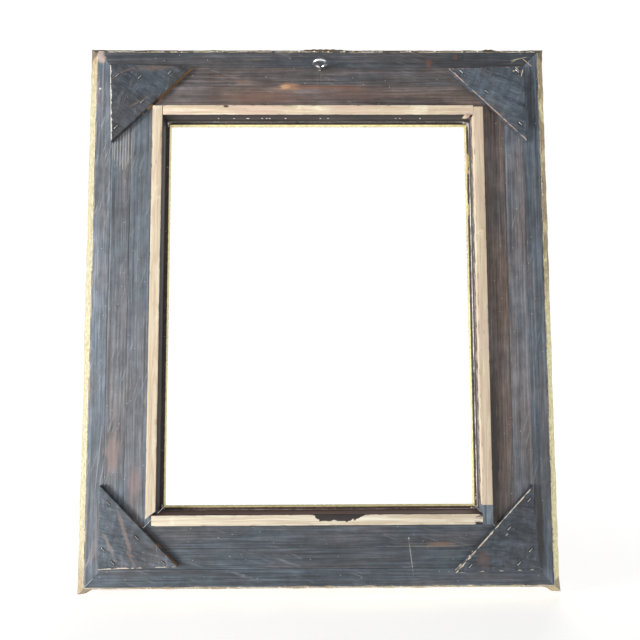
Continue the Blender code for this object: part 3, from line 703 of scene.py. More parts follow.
def nick(amount, seed):
    """Wear along the arrises: mostly shallow, with a few deeper nicks."""
    def shift(along, out, depth, edge):
        if edge < 0.25:
            return -0.00005 - 0.00005 * rough(along * 22.0, out * 160.0, 0.0, seed)
        deep = ease(rough(along * 75.0, out * 9.0, 3.0, seed), 0.30, 0.62)
        return -edge * (0.0001 + amount * deep)
    return shift


def wall_paint_and_shade(along, out, depth, edge):
    """The rebate's wall is darkened down to the ledge: partly dark paint, partly painted shade."""
    return edge, ease(out, 0.0002, 0.0) * (1.0 if depth > 0.0 else 0.0), 0.0


def make_rails():
    for number, side in enumerate(SIDES):
        for layer, label in enumerate(("outer", "middle", "inner")):
            node = f"{side}_rail_{label}_strip"
            reach = outward_reach(node, side)
            outer_edge, outer_round = (1.0, 0.0014) if label == "outer" else (0.30, 0.0004)
            section = plank_section(*reach, 0.0, RAIL_DEPTH, 0.30, outer_edge, 0.0004, outer_round)
            seed = 1.0 + number * 3 + layer
            bar(f"{side}_rail_{label}_board", side, section, mitre(side), 0.007, nick(0.0011, seed), seed,
                wall_paint_and_shade, material=BOARDS, nodes=(node,), slot="stained_pine", tone=RAIL_TONES_AND_LIGHT[side][layer])


# ---------------------------------------------------------------- laths
def inner_face(out):
    """1 on the inner face of a lath, which is darkened with the rebate: partly dark paint, partly painted
    shade.
    """
    return ease(out, 0.0008, 0.0002)


def make_lath(side, piece_name, node, ends, smear_and_shade, warmth, seed, tone, bites=(), material=PINE,
              slot="raw_pine"):
    """Bites are (along, half length, depth) of pieces lost from the inner arris, or swollen if negative."""
    low, high = local_box(node)
    reach = outward_reach(node, side)
    section = plank_section(reach[0], reach[1], low.y, high.y, 0.8, 0.6, 0.0009, 0.0008)
    wear_base = nick(0.0013, seed)

    def shift(along, out, depth, edge):
        move = wear_base(along, out, depth, edge)
        for centre, half, deep in bites:
            near = 1.0 - abs(along - centre) / half
            if near > 0.0 and out < reach[0] + 0.003:
                move -= deep * math.sqrt(near) * (0.8 + 0.3 * rough(along * 300.0, 0.0, 0.0, seed))
        return move

    def wear_of(along, out, depth, edge):
        return edge, smear_and_shade(along, out, depth), 0.0

    bar(piece_name, side, section, ends, 0.004, shift, seed, wear_of,
        material=material, nodes=(node,), slot=slot, tone=(tone, warmth, 0.3))


def make_laths():
    cut = 0.015
    left_low, left_high = local_box("left_rebate_lath")
    slant = cut / (left_high.x - left_low.x)
    make_lath("left", "left_lath", "left_rebate_lath",
              lambda out: (left_low.z + cut - slant * out, left_high.z),
              lambda along, out, depth: inner_face(out), 0.15, 31.0, 0.093,
              bites=((0.328, 0.024, 0.0036), (-0.232, 0.006, 0.0010)))

    def top_smear_and_shade(along, out, depth):
        splinter = ease(abs(along - 0.294), 0.004, 0.009)
        return inner_face(out) * splinter

    top_low, top_high = local_box("top_rebate_lath")
    make_lath("top", "top_lath", "top_rebate_lath", lambda out: (top_low.x, top_high.x),
              top_smear_and_shade, 0.75, 32.0, 0.106, bites=((0.294, 0.008, -0.0030), (0.315, 0.013, 0.0018)))

    def right_smear_and_shade(along, out, depth):
        return 0.60 * ease(out, 0.0012, 0.0002) * ease(depth, -0.0105, -0.0030)

    right_low, right_high = local_box("right_rebate_lath")
    make_lath("right", "right_lath", "right_rebate_lath", lambda out: (-right_high.z, -right_low.z),
              right_smear_and_shade, 0.45, 33.0, 0.098)

    def bottom_smear_and_shade(along, out, depth):
        """A dark dip near the middle, as well as the inner face darkened partly with paint and partly as
        painted shade.
        """
        x = -along
        dip = ease(x, -0.015, 0.004) * ease(x, 0.092, 0.060)
        line = 0.0175 * dip * (0.75 + 0.35 * rough(x * 90.0, 2.0)) - 0.001
        late = 0.5 * ease(x, 0.255, 0.300)
        return max(inner_face(out), late, ease(line - out, -0.0015, 0.0015))

    bottom_low, bottom_high = local_box("bottom_rebate_lath")
    make_lath("bottom", "bottom_lath", "bottom_rebate_lath", lambda out: (-bottom_high.x, -bottom_low.x),
              bottom_smear_and_shade, 0.04, 34.0, 0.132)
    block_low, block_high = local_box("bottom_right_corner_block")
    make_lath("right", "corner_block", "bottom_right_corner_block", lambda out: (-block_high.z, -block_low.z),
              lambda along, out, depth: 0.0, 0.05, 35.0, 0.16, material=BOARDS, slot="stained_pine")


# ---------------------------------------------------------------- gussets
# Legs, turn in degrees, lean of the Z leg's end, tone, and for each edge (along X, long side, along Z)
# its rim wear, its bare wall at either end and its warmth. The pale rims are partly worn edges and partly
# painted highlight, strongest on edges that face the lamp on the left; the low bare values keep walls dark
# where they lie in shade, partly painted shade.
GUSSETS = {
    "top_left": ((0.1635, 0.158), -2.2, 0.0114, (0.051, 0.08, 0.25), (
        (0.30, (0.0, 0.0), 0.0), (0.05, (1.15, -0.10), 1.0), (0.95, (0.3, 0.3), 0.0))),
    "top_right": ((0.151, 0.153), 1.8, 0.0028, (0.092, 0.03, 0.15), (
        (0.55, (0.2, 0.2), 1.0), (0.80, (0.0, 0.0), 0.8), (0.40, (0.1, 0.6), 0.1))),
    "bottom_left": ((0.1485, 0.154), 1.6, 0.0038, (0.087, 0.10, 0.60), (
        (0.70, (0.5, 0.5), 0.2), (0.06, (0.75, 0.05), 1.0), (0.42, (0.0, 0.0), 0.3))),
    "bottom_right": ((0.159, 0.1555), 1.6, 0.0038, (0.060, 0.03, 0.15), (
        (0.46, (0.3, 0.3), 0.1), (0.86, (0.42, -0.2), 0.2), (0.10, (0.0, 0.0), 0.3))),
}


def gusset_place(corner):
    """Square corner of the gusset and its turn, from the CAD node's box."""
    sign_x, sign_z = CORNERS[corner]
    (leg_x, leg_z), turn, lean, _, _ = GUSSETS[corner]
    spin = Matrix.Rotation(math.radians(-turn), 3, "Y")
    tips = [Vector((0, 0, 0)), Vector((-sign_x * leg_x, 0, 0)), Vector((-sign_x * lean, 0, -sign_z * leg_z))]
    spun = [spin @ tip for tip in tips]
    low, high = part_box(f"{corner}_gusset")
    x = high.x - max(p.x for p in spun) if sign_x > 0 else low.x - min(p.x for p in spun)
    z = high.z - max(p.z for p in spun) if sign_z > 0 else low.z - min(p.z for p in spun)
    return Vector((x, 0.0, z)), spin, tips, low.y, high.y


def make_gusset(corner, seed):
    _, _, _, tone, edges = GUSSETS[corner]
    origin, spin, tips, back, front = gusset_place(corner)
    a, b, c = tips
    sides = [(a, b, edges[0]), (b, c, edges[1]), (c, a, edges[2])]
    lengths = [(q - p).length for p, q, _ in sides]
    perimeter = sum(lengths)
    inner = (a * lengths[1] + b * lengths[2] + c * lengths[0]) / perimeter
    inradius = (b - a).cross(c - a).length / perimeter
    outline = []
    for (p, q, (rim, (bare_start, bare_end), warm)), length in zip(sides, lengths):
        steps = round(length / 0.0028)
        for step in range(steps):
            share = step / steps
            outline.append((p.lerp(q, share), rim, bare_start + (bare_end - bare_start) * share, warm))
    # Rings as (inset, y, worn edge, bare wall): the plies of the wall, the rounded rim, then the flat back.
    rim_start, flat_start = 5, 8
    layers = [(0.0, front - 0.00005, 0.0, 1.0)]
    for ply in range(1, rim_start):
        layers.append((0.0, front - (front - back) * ply / 5, 0.0, 1.0))
    layers += [(0.0, back + 0.0007, 0.6, 0.6), (0.0002, back + 0.0002, 1.0, 0.15), (0.0008, back, 1.0, 0.0)]
    layers += [(0.0026, back, 0.45, 0.0)] + [(inset, back, 0.0, 0.0) for inset in (0.006, 0.016, 0.030)]
    verts, grain, wear = [], [], []
    tilt = math.radians(8.0 * seed)
    for level, (inset, y, edge, wall) in enumerate(layers):
        for point, rim, bare, warm in outline:
            flat = inner + (point - inner) * (1.0 - inset / inradius)
            toward = (inner - flat).normalized()
            ragged = 0.0002 + 0.0004 * max(0.0, rough(flat.x * 120.0, flat.z * 120.0, y * 500.0, seed))
            deep = 0.0013 * ease(rough(flat.x * 60.0, flat.z * 60.0, 4.0, seed), 0.42, 0.70)
            fade = 1.0 if level < flat_start else (0.4 if level == flat_start else 0.0)
            flat = flat + toward * (ragged + deep * rim * (1.0 if level >= rim_start else 0.3)) * fade
            spot = origin + spin @ flat
            dip = 0.0
            if level >= flat_start - 1:
                dip = 0.00012 * (1.0 + rough(flat.x * 45.0, flat.z * 45.0, 1.0, seed))
            verts.append(Vector((spot.x, y + dip, spot.z)))
            grain.append((flat.x * math.cos(tilt) + flat.z * math.sin(tilt) + seed,
                          flat.z * math.cos(tilt) - flat.x * math.sin(tilt), y + seed))
            wear.append((edge * rim, wall * max(0.0, bare), warm))
    faces = swept_faces(len(layers), len(outline))
    add_piece(f"{corner}_gusset_plate", verts, faces, PLATES, (f"{corner}_gusset",), "stained_plywood",
              grain=grain, wear=wear, tone=tone)


# ---------------------------------------------------------------- staples and screw eye
def make_staple(node, corner):
    """Round wire staple in the plane of the CAD staple."""
    low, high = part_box(node)
    (leg_x, leg_z), turn, lean, _, _ = GUSSETS[corner]
    sign_x, sign_z = CORNERS[corner]
    slope = math.atan2(leg_z, leg_x - lean)
    spin = Matrix.Rotation(math.radians(-turn) + sign_x * sign_z * slope, 3, "Y")
    across = spin @ Vector((1.0, 0.0, 0.0))
    middle = Vector(((low.x + high.x) / 2, 0.0, (low.z + high.z) / 2))
    half, radius, bend, bend_steps = 0.0043, 0.00072, 0.0010, 4
    top = low.y + radius
    arm = [(half, high.y - radius), (half, top + 4 * bend)]
    for step in range(bend_steps + 1):
        angle = math.pi / 2 * step / bend_steps
        arm.append((half - bend * (1.0 - math.cos(angle)), top + bend * (1.0 - math.sin(angle))))
    path = [middle - across * reach + Vector((0.0, y, 0.0)) for reach, y in arm]
    path += [middle + across * reach + Vector((0.0, y, 0.0)) for reach, y in reversed(arm)]
    flat_normal = Vector((-across.z, 0.0, across.x))
    last = len(path) - 1

    def radius_at(index, angle):
        return radius * (0.35 if index in (0, last) else 1.0)

    verts, faces = sweep(path, radius_at, 10, flat_normal)
    add_piece(node.replace("_staple_", "_staple_wire_"), verts, faces, STEEL, (node,), "staple_steel")


def make_screw_eye():
    low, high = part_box("screw_eye")
    wire = 0.0028
    ring = (high.x - low.x) / 2 - wire
    centre = Vector(((low.x + high.x) / 2, low.y + ring + wire, (low.z + high.z) / 2))
    path = []
    opening = math.radians(22.0)
    start, sweep_angle = math.pi / 2 - opening, 2.0 * (math.pi - opening)
    ring_steps = 72
    for step in range(ring_steps + 1):
        angle = start - sweep_angle * step / ring_steps
        path.append(centre + Vector((ring * math.cos(angle), ring * math.sin(angle), 0.0)))
    join = path[-1]
    pulled = centre + Vector((-0.0016, ring + 0.0006, 0.0))
    neck = centre + Vector((0.0, ring + 0.0050, 0.0))
    for step in range(1, 9):
        t = step / 8
        path.append(join * (1 - t) ** 2 + pulled * 2 * t * (1 - t) + neck * t * t)
    plain = len(path)
    tip = high.y
    pitch = 0.0017
    threads = 110
    for step in range(1, threads + 1):
        path.append(Vector((centre.x, neck.y + (tip - neck.y) * step / threads, centre.z)))
    last = len(path) - 1

    def radius_at(index, angle):
        if index == 0:
            return wire * 0.55
        if index == 1:
            return wire * 0.92
        if index < plain:
            return wire
        reach = path[index].y - neck.y
        taper = 1.0 - ease(path[index].y, tip - 0.007, tip) * 0.85
        turn = (reach / pitch - angle / (2.0 * math.pi)) % 1.0
        crest = max(0.0, 1.0 - abs(turn - 0.5) * 3.2)
        depth = 0.0006 * ease(reach, 0.001, 0.003)
        return max(0.0003, (wire - depth * (1.0 - crest)) * taper)

    verts, faces = sweep(path, radius_at, 20, Vector((0.0, 0.0, 1.0)))
    add_piece("screw_eye_wire", verts, faces, ZINC, ("screw_eye",), "zinc_plated_steel", "hanger",
              crease=60.0)


# ---------------------------------------------------------------- gilt mouldings
# The section, from the sight edge out: pearls, a flat frieze, a hollow, a rope and a flare to the rim.
BACK_DEPTH = RAIL_DEPTH + GAP
LEDGE = BACK_DEPTH + 0.0005
SIGHT_OUT = -0.0065
PEARL_OUT, PEARL_DEPTH, PEARL_RADIUS, PEARL_TOP, PEARL_END = -0.0020, 0.0273, 0.0045, 0.0318, 0.0025
FRIEZE_DEPTH = 0.0291
HOLLOW_OUT, HOLLOW_WIDTH, HOLLOW_END = 0.0235, 0.0760, 0.0995
HOLLOW_DEPTH, HOLLOW_RISE = 0.0321, 0.0360
ROPE_OUT, ROPE_HALF, ROPE_DEPTH, ROPE_RISE = 0.1195, 0.0160, 0.0660, 0.0060
FLARE_OUT, FLARE_WIDTH = 0.1355, 0.0335
RIM_OUT, RIM_FRONT, RIM_BACK = 0.1690, 0.0500, 0.0440
FLANK_RUN, FLANK_DROP = 0.0320, 0.0277

PLAIN, PEARLS, FRIEZE, HOLLOW, ROPE, FLUTES, RIM, FLANK, SIGHT_WALL, LEDGE_RUN = range(10)


def front_depth(out):
    """Depth of the moulding's plain front surface at a distance out from the rebate line."""
    knots = ((SIGHT_OUT, PEARL_DEPTH), (PEARL_OUT, PEARL_TOP), (PEARL_END, PEARL_DEPTH))
    knots += ((0.0055, FRIEZE_DEPTH), (HOLLOW_OUT, FRIEZE_DEPTH))
    if out < HOLLOW_OUT:
        return stepwise(out, knots)
    if out < HOLLOW_END:
        angle = math.asin(min(1.0, (out - HOLLOW_OUT) / HOLLOW_WIDTH))
        return HOLLOW_DEPTH + HOLLOW_RISE * (1.0 - math.cos(angle))
    knots = ((0.0995, 0.0672), (0.1035, 0.0662), (0.1095, 0.0716), (0.1195, 0.0720), (0.1295, 0.0716))
    knots += ((0.1355, 0.0660), (0.1420, 0.0600), (0.1500, 0.0560), (0.1600, 0.0525), (RIM_OUT, RIM_FRONT))
    return stepwise(out, knots)


def stepwise(value, knots):
    if value <= knots[0][0]:
        return knots[0][1]
    for (x0, y0), (x1, y1) in zip(knots, knots[1:]):
        if value <= x1:
            return y0 + (y1 - y0) * (value - x0) / (x1 - x0)
    return knots[-1][1]


def moulding_section():
    """Points of (out, depth, kind): kind tells which run of the section a point is on."""
    section = [(-GAP, BACK_DEPTH, LEDGE_RUN), (-GAP, LEDGE, LEDGE_RUN)]
    for out in (-0.0022, -0.0030, -0.0040, -0.0050, -0.0060):
        section.append((out, LEDGE, LEDGE_RUN))
    for depth in (BACK_DEPTH + 0.0007, 0.0200, 0.0250):
        section.append((SIGHT_OUT, depth, SIGHT_WALL))
    section.append((SIGHT_OUT, PEARL_DEPTH, PEARLS))
    for step in range(1, 8):
        angle = math.pi * (1.0 - step / 8)
        out = PEARL_OUT + PEARL_RADIUS * math.cos(angle)
        section.append((out, PEARL_DEPTH + PEARL_RADIUS * math.sin(angle), PEARLS))
    section += [(PEARL_END, PEARL_DEPTH, PLAIN), (0.0038, 0.0280, PLAIN)]
    section += [(out, FRIEZE_DEPTH, FRIEZE) for out in (0.0055, 0.0100, 0.0145, 0.0190)]
    section += [(0.0228, FRIEZE_DEPTH, PLAIN), (HOLLOW_OUT, 0.0300, PLAIN)]
    for step in range(17):
        angle = 0.5 * math.pi * step / 17
        out = HOLLOW_OUT + HOLLOW_WIDTH * math.sin(angle)
        section.append((out, HOLLOW_DEPTH + HOLLOW_RISE * (1.0 - math.cos(angle)), HOLLOW))
    section += [(0.0995, 0.0676, PLAIN), (0.1010, 0.0662, PLAIN), (0.1030, 0.0660, PLAIN)]
    for step in range(13):
        angle = math.pi * (1.0 - step / 12)
        out = ROPE_OUT + ROPE_HALF * math.cos(angle)
        section.append((out, ROPE_DEPTH + ROPE_RISE * math.sin(angle) ** 0.7, ROPE))
    for step in range(1, 10):
        out = FLARE_OUT + 0.0320 * step / 9
        section.append((out, front_depth(out) - 0.0003 * math.sin(math.pi * step / 9), FLUTES))
    section += [(0.1686, RIM_FRONT, RIM), (RIM_OUT, 0.0492, RIM), (RIM_OUT, 0.0470, RIM)]
    section += [(RIM_OUT, 0.0448, FLANK), (0.1684, RIM_BACK, FLANK)]
    for step in range(1, 8):
        t = step / 8
        depth = RIM_BACK - FLANK_DROP * t - 0.0030 * math.sin(math.pi * t)
        section.append((RIM_OUT - FLANK_RUN * t, depth, FLANK))
    section.append((RAIL_WIDTH, BACK_DEPTH, FLANK))
    return section


PEARL_PITCH, LEAF_PITCH, ROPE_PITCH, FLUTE_PITCH = 0.0092, 0.0260, 0.0200, 0.0120
# How far the broken rim lies back from its full width on each side: everywhere, and in uneven breaks.
RIM_LOSS = {
    "bottom": (0.0084, 0.0024),
    "right": (0.0012, 0.0016),
    "top": (0.0004, 0.0014),
    "left": (0.0, 0.0012),
}


def make_moulding(side, seed):
    length = half_length(side)

    def clear_of_ornaments(along, out):
        centre = ease(abs(along), 0.066, 0.080)
        corner = ease(length + RIM_OUT - abs(along), 0.112, 0.128)
        return centre * corner if out > 0.075 else 1.0

    def carve(along, out, kind):
        """Depth of the carving below the plain surface, and its height from 0 to 1."""
        fade = ease(length + out - abs(along), 0.001, 0.012)
        if kind == PEARLS:
            wave = abs(math.sin(math.pi * along / PEARL_PITCH))
            return fade * 0.0011 * (1.0 - wave ** 0.5), wave
        if kind == FRIEZE:
            sand = 0.5 + 0.5 * rough(along * 900.0, out * 900.0, 0.0, seed)
            return fade * 0.0003 * sand, 0.75
        if kind == HOLLOW:
            t = (out - HOLLOW_OUT) / HOLLOW_WIDTH
            phase = math.pi * along / LEAF_PITCH
            leaf = abs(math.sin(phase)) * (1.0 - ease(t, 0.30, 0.62)) * ease(t, 0.0, 0.06)
            vein = 1.0 - math.exp(-((math.cos(phase)) ** 2) * 18.0)
            low_part = 0.0016 * (1.0 - ease(t, 0.35, 0.60))
            height = leaf * (0.55 + 0.45 * vein)
            return fade * low_part * (1.0 - height), 0.35 + 0.65 * max(height, ease(t, 0.45, 0.65) * 0.85)
        if kind == ROPE:
            wave = abs(math.sin(math.pi * (along / ROPE_PITCH + (out - ROPE_OUT) / 0.030)))
            clear = clear_of_ornaments(along, out)
            return fade * clear * 0.0022 * (1.0 - wave ** 0.6), 1.0 - clear * (1.0 - wave)
        if kind == FLUTES:
            flute = 0.5 + 0.5 * math.cos(2.0 * math.pi * along / FLUTE_PITCH)
            body = math.sin(math.pi * min(1.0, max(0.0, (out - FLARE_OUT) / FLARE_WIDTH)))
            clear = clear_of_ornaments(along, out)
            return fade * clear * 0.0010 * body * flute, 0.45 + 0.45 * (1.0 - flute)
        if kind == RIM:
            return fade * 0.0004 * (0.5 + 0.5 * rough(along * 60.0, 0.0, 0.0, seed)), 0.95
        return 0.0, 0.10

    def shift(along, out, depth, kind):
        return -carve(along, out, kind)[0]

    def broken_rim(along, out):
        """Gesso lost from the outer rim pulls it in towards the rail."""
        everywhere, uneven = RIM_LOSS[side]
        near_corner = ease(length + RIM_OUT - abs(along), 0.014, 0.034)
        lost = everywhere * near_corner + uneven * (0.5 + 0.8 * rough(along * 30.0, 0.0, 0.0, seed))
        lost = max(0.0, lost + 0.0006 * rough(along * 160.0, 3.0, 0.0, seed))
        lost *= ease(length + out - abs(along), 0.0, 0.010)
        return out - lost * ease(out, 0.148, 0.168)

    # How far the gilding laps from the sight edge over the ledge.
    lap = 0.0 if side == "top" else 0.0008

    def wear_of(along, out, depth, kind):
        if kind == LEDGE_RUN:
            ragged = lap + SIGHT_OUT + 0.0005 * rough(along * 120.0, 0.0, 0.0, seed)
            return ease(out, ragged - 0.0005, ragged + 0.0005), 1.0, 1.0
        if kind in (FLANK, SIGHT_WALL):
            return 0.0, 1.0, 1.0
        return 0.0, 0.0, carve(along, out, kind)[1]

    bar(f"{side}_carved_moulding", side, moulding_section(), mitre(side), 0.0038, shift, seed, wear_of,
        broken_rim, material=GILT, nodes=(f"{side}_gilt_moulding",), slot="gilt", crease=50.0)


# ---------------------------------------------------------------- carved ornaments
ORNAMENT_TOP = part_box("top_centre_ornament")[1].y - CENTRE.y
EDGE_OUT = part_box("top_centre_ornament")[1].z - CENTRE.z - HALF_Z
# How far out the other carvings reach, so that the moulding's rim hides them from the back.
HIDDEN_EDGE = {"top": 0.1640, "right": 0.1640, "left": 0.1655, "bottom": 0.1540}


# Past this distance out the carvings overhang the moulding's rim.
OVERHANG = 0.1660


def relief_piece(name, nodes, centre, reach_of, height_of, side, rings, steps):
    """Closed carving in polar rings about a centre on the front, laid over the moulding."""
    verts, wear, faces = [], [], []

    def point(x, z):
        """World x and z and the distance out, of a point on a side or, without a side, on the whole frame."""
        if side:
            base = place(side, x, z, 0.0)
            return base.x, base.z, z
        out = max(abs(x) - HALF_X, abs(z) - HALF_Z)
        return CENTRE.x + x, CENTRE.z + z, out

    for lower in (False, True):
        for ring in range(rings + 1):
            share = ring / rings
            for step in range(steps):
                angle = 2.0 * math.pi * step / steps
                reach = reach_of(angle) * (share ** 0.8)
                x = centre[0] + reach * math.cos(angle)
                z = centre[1] + reach * math.sin(angle)
                world_x, world_z, out = point(x, z)
                ground = front_depth(min(out, OVERHANG)) + GAP
                height, level = height_of(x - centre[0], z - centre[1], share)
                droop = 0.20 * max(0.0, out - OVERHANG)
                depth = ground - droop if lower else min(ORNAMENT_TOP - 0.0001, ground + height) - droop
                verts.append(Vector((world_x, CENTRE.y + depth, world_z)))
                wear.append((0.0, 0.55 if share > 0.97 and out > OVERHANG else 0.0, 0.0 if lower else level))
    layer = (rings + 1) * steps
    for base in (0, layer):
        for ring in range(rings):
            for step in range(steps):
                a, b = base + ring * steps + step, base + ring * steps + (step + 1) % steps
                faces.append((a, b, b + steps, a + steps))
        faces.append(tuple(base + step for step in range(steps)))
    for step in range(steps):
        a, b = rings * steps + step, rings * steps + (step + 1) % steps
        faces.append((a, b, b + layer, a + layer))
    add_piece(name, verts, faces, GILT, nodes, "gilt", wear=wear, crease=60.0)


CARVING_INNER = 0.0835
CORNER_MID = 0.12925


def superellipse(angle, half_wide, half_high, power):
    wide, tall = abs(math.cos(angle)) / half_wide, abs(math.sin(angle)) / half_high
    return 1.0 / (wide ** power + tall ** power) ** (1.0 / power)


def lobed(angle, depth):
    """Pulls a rim in between its lobes."""
    return 1.0 - depth * (0.5 - 0.5 * math.cos(22.0 * angle))


def make_centre_carving(side):
    inner, outer = CARVING_INNER, EDGE_OUT if side == "top" else HIDDEN_EDGE[side]
    centre = (0.012 if side == "top" else 0.0, (inner + outer) / 2)
    half_long, half_high = 0.0620 if side == "top" else 0.0749, (outer - inner) / 2

    def reach_of(angle):
        outside = math.sin(angle) > 0.0
        shell = superellipse(angle, half_long, half_high, 4.5 if outside else 2.6)
        return shell * lobed(angle, 0.02 if side == "top" and outside else 0.07)

    def height_of(x, z, share):
        fan = math.atan2(z + 0.036, x * 0.75)
        ribs = abs(math.cos(9.0 * fan))
        shell = ease(z + 0.036, 0.0, 0.020) * (1.0 - ease(abs(x), 0.034, 0.042))
        scroll = 0.5 + 0.5 * math.cos(abs(x) * 230.0 - abs(z) * 150.0)
        body = math.sqrt(max(0.0, 1.0 - share ** 2.4))
        level = shell * ribs + (1.0 - shell) * (0.35 + 0.65 * scroll)
        boss = math.exp(-((x * x + (z + 0.026) ** 2) / 0.00006))
        level = max(level * (0.45 + 0.55 * body), boss)
        return 0.0012 + 0.0064 * body * (0.35 + 0.65 * level) + 0.0016 * boss, level

    relief_piece(f"{side}_centre_carving", (f"{side}_centre_ornament",), centre, reach_of, height_of,
                 side, 22, 144)


def corner_reach(angle, edge):
    """Distance to the rim of the corner spray, for angles from the corner's own outward diagonal."""
    leg, mid, inner = 0.120, CORNER_MID, CARVING_INNER
    corner = edge - 0.018
    upper = [(edge - leg, mid + 0.006), (edge - 0.5 * leg, edge - 0.010)]
    upper += [(edge - 0.25 * leg, edge), (corner, edge)]
    rim = upper + [(z, x) for x, z in reversed(upper)]
    rim += [(mid - 0.006, edge - leg), (inner + 0.006, inner), (inner - 0.012, inner - 0.012)]
    rim += [(inner, inner + 0.006), (edge - leg, mid - 0.006)]
    heading = Vector((math.cos(angle), math.sin(angle)))
    best = None
    for (x0, z0), (x1, z1) in zip(rim, rim[1:] + rim[:1]):
        p, q = Vector((x0 - mid, z0 - mid)), Vector((x1 - mid, z1 - mid))
        along = q - p
        cross = heading.x * along.y - heading.y * along.x
        if abs(cross) < 1e-12:
            continue
        distance = (p.x * along.y - p.y * along.x) / cross
        share = (p.x * heading.y - p.y * heading.x) / cross
        if distance > 0.0 and -1e-6 <= share <= 1.0 + 1e-6:
            best = distance if best is None else max(best, distance)
    return best or 0.02


def make_corner_carving(corner):
    sign_x, sign_z = CORNERS[corner]
    edge = HIDDEN_EDGE[corner.split("_")[0]]
    centre = (sign_x * (HALF_X + CORNER_MID), sign_z * (HALF_Z + CORNER_MID))

    def own_angle(angle):
        return math.atan2(math.sin(angle) * sign_z, math.cos(angle) * sign_x)

    def reach_of(angle):
        own = own_angle(angle)
        return corner_reach(own, edge) * lobed(own - math.pi / 4, 0.07)

    def height_of(x, z, share):
        own_x, own_z = x * sign_x, z * sign_z
        diagonal = abs(own_x - own_z) / 1.414
        along = (own_x + own_z) / 1.414
        body = math.sqrt(max(0.0, 1.0 - share ** 2.6))
        vein = math.exp(-(diagonal / 0.0020) ** 2)
        leaflets = 0.5 + 0.5 * math.cos(diagonal * 420.0 - along * 260.0)
        level = max(0.25 + 0.75 * leaflets * (0.5 + 0.5 * body), vein)
        return 0.0012 + 0.0062 * body * (0.35 + 0.65 * level), level

    relief_piece(f"{corner}_carving", (f"{corner}_corner_ornament",), centre, reach_of, height_of,
                 None, 24, 176)


def make_leaf_tip():
    """Tip of a leaf that stands out past the top edge near the right-hand corner."""
    half_long, half_high = 0.0275, 0.0180
    centre = (0.362, EDGE_OUT - half_high - 0.0002)

    def reach_of(angle):
        return superellipse(angle, half_long, half_high, 2.6) * (1.0 - 0.05 * abs(math.sin(5.0 * angle)))

    def height_of(x, z, share):
        body = math.sqrt(max(0.0, 1.0 - share ** 2.4))
        level = 0.3 + 0.7 * abs(math.cos(x * 330.0)) * body
        return 0.0030 + 0.0040 * body * (0.4 + 0.6 * level), level

    relief_piece("top_right_leaf_tip", (), centre, reach_of, height_of, "top", 14, 80)


# ---------------------------------------------------------------- gesso skin, glue, brads and crumbs
def make_edge_skin(side, seed, cover):
    """Thin gesso on the outer side of the rails, broken back from the arris in places."""
    section = [(0.1373, 0.0160, 0), (0.1373, 0.0100, 0), (0.1373, 0.0045, 0.4), (0.1373, 0.0006, 1)]
    section += [(0.1379, 0.0003, 1), (0.1385, 0.0008, 1), (0.1388, 0.0045, 0.4)]
    section += [(0.1390, 0.0100, 0), (0.1392, 0.0160, 0)]

    def depth_of(along, depth):
        breaks = rough(along * 24.0, 5.0, 0.0, seed) + 0.35 * rough(along * 130.0, 1.0, 0.0, seed)
        broken = ease(breaks, cover, cover + 0.18)
        back = 0.0004 + 0.0105 * broken + 0.0006 * (1.0 + rough(along * 400.0, 2.0, 0.0, seed))
        return back + (depth - 0.0003) * (0.0160 - back) / 0.0157

    verts, grain = [], []
    end = half_length(side) + 0.1373 - 0.002
    start = -end
    count = round((end - start) / 0.0028)
    for station in range(count + 1):
        for out, depth, edge in section:
            along = start + (end - start) * station / count
            swell = 0.0007 * edge * rough(along * 160.0, 7.0, 0.0, seed) if out > 0.1375 else 0.0
            verts.append(place(side, along, out + swell, depth_of(along, depth)))
            grain.append((along, out, depth + seed))
    faces = swept_faces(count + 1, len(section))
    add_piece(f"{side}_gesso_skin", verts, faces, GESSO, slot="gilt", grain=grain)


def lumps(name, spots, material, slot):
    """Small broken lumps at (place, size): squashed and roughened balls as one piece."""
    verts, faces = [], []
    for number, (centre, size) in enumerate(spots):
        work = bmesh.new()
        bmesh.ops.create_icosphere(work, subdivisions=2, radius=1.0)
        base = len(verts)
        for vertex in work.verts:
            swell = 1.0 + 0.35 * rough(vertex.co.x * 1.7, vertex.co.y * 1.7, vertex.co.z * 1.7, number + 0.5)
            local = Vector((vertex.co.x * size[0], vertex.co.y * size[1], vertex.co.z * size[2])) * swell
            verts.append(centre + local)
        faces += [tuple(base + vertex.index for vertex in face.verts) for face in work.faces]
        work.free()
    add_piece(name, verts, faces, material, slot=slot, crease=25.0)


# How many crumbs lie on each side, and the stretch that they lie on.
CRUMBS = (
    ("bottom", 60, -0.40, 0.42),
    ("top", 26, -0.30, 0.44),
    ("right", 26, -0.50, 0.50),
    ("left", 16, -0.50, 0.50),
)


def make_crumbs():
    """Crumbs of gesso along the outer arris."""
    dice = random.Random(7)
    for side, count, low, high in CRUMBS:
        spots = []
        for _ in range(count):
            size = dice.uniform(0.0005, 0.0013)
            along, rise = dice.uniform(low, high), dice.uniform(0.0, 0.0015)
            spot = place(side, along, 0.1384 + size * 0.4, 0.0010 + rise)
            wide, tall = (1.0, 1.8) if side in ("left", "right") else (1.6, 1.0)
            spots.append((spot, (size * wide, size * 0.8, size * tall)))
        if side == "left":
            spots.append((CENTRE + Vector((-0.4355, 0.0010, 0.4453)), (0.0032, 0.0014, 0.0032)))
        lumps(f"{side}_edge_crumbs", spots, GESSO, "gilt")


LEDGE_BRADS = {
    "bottom": (-0.150, -0.062, -0.030, 0.054, 0.190, 0.252),
    "right": (-0.30, -0.12, 0.11, 0.27),
    "left": (-0.27, -0.05, 0.16, 0.29),
}
# Share of a brad's length and its radius there, from the ledge to its head.
BRAD_SHAPE = ((0.0, 0.0005), (0.35, 0.0005), (0.75, 0.0005), (0.8, 0.0010), (1.0, 0.0009))


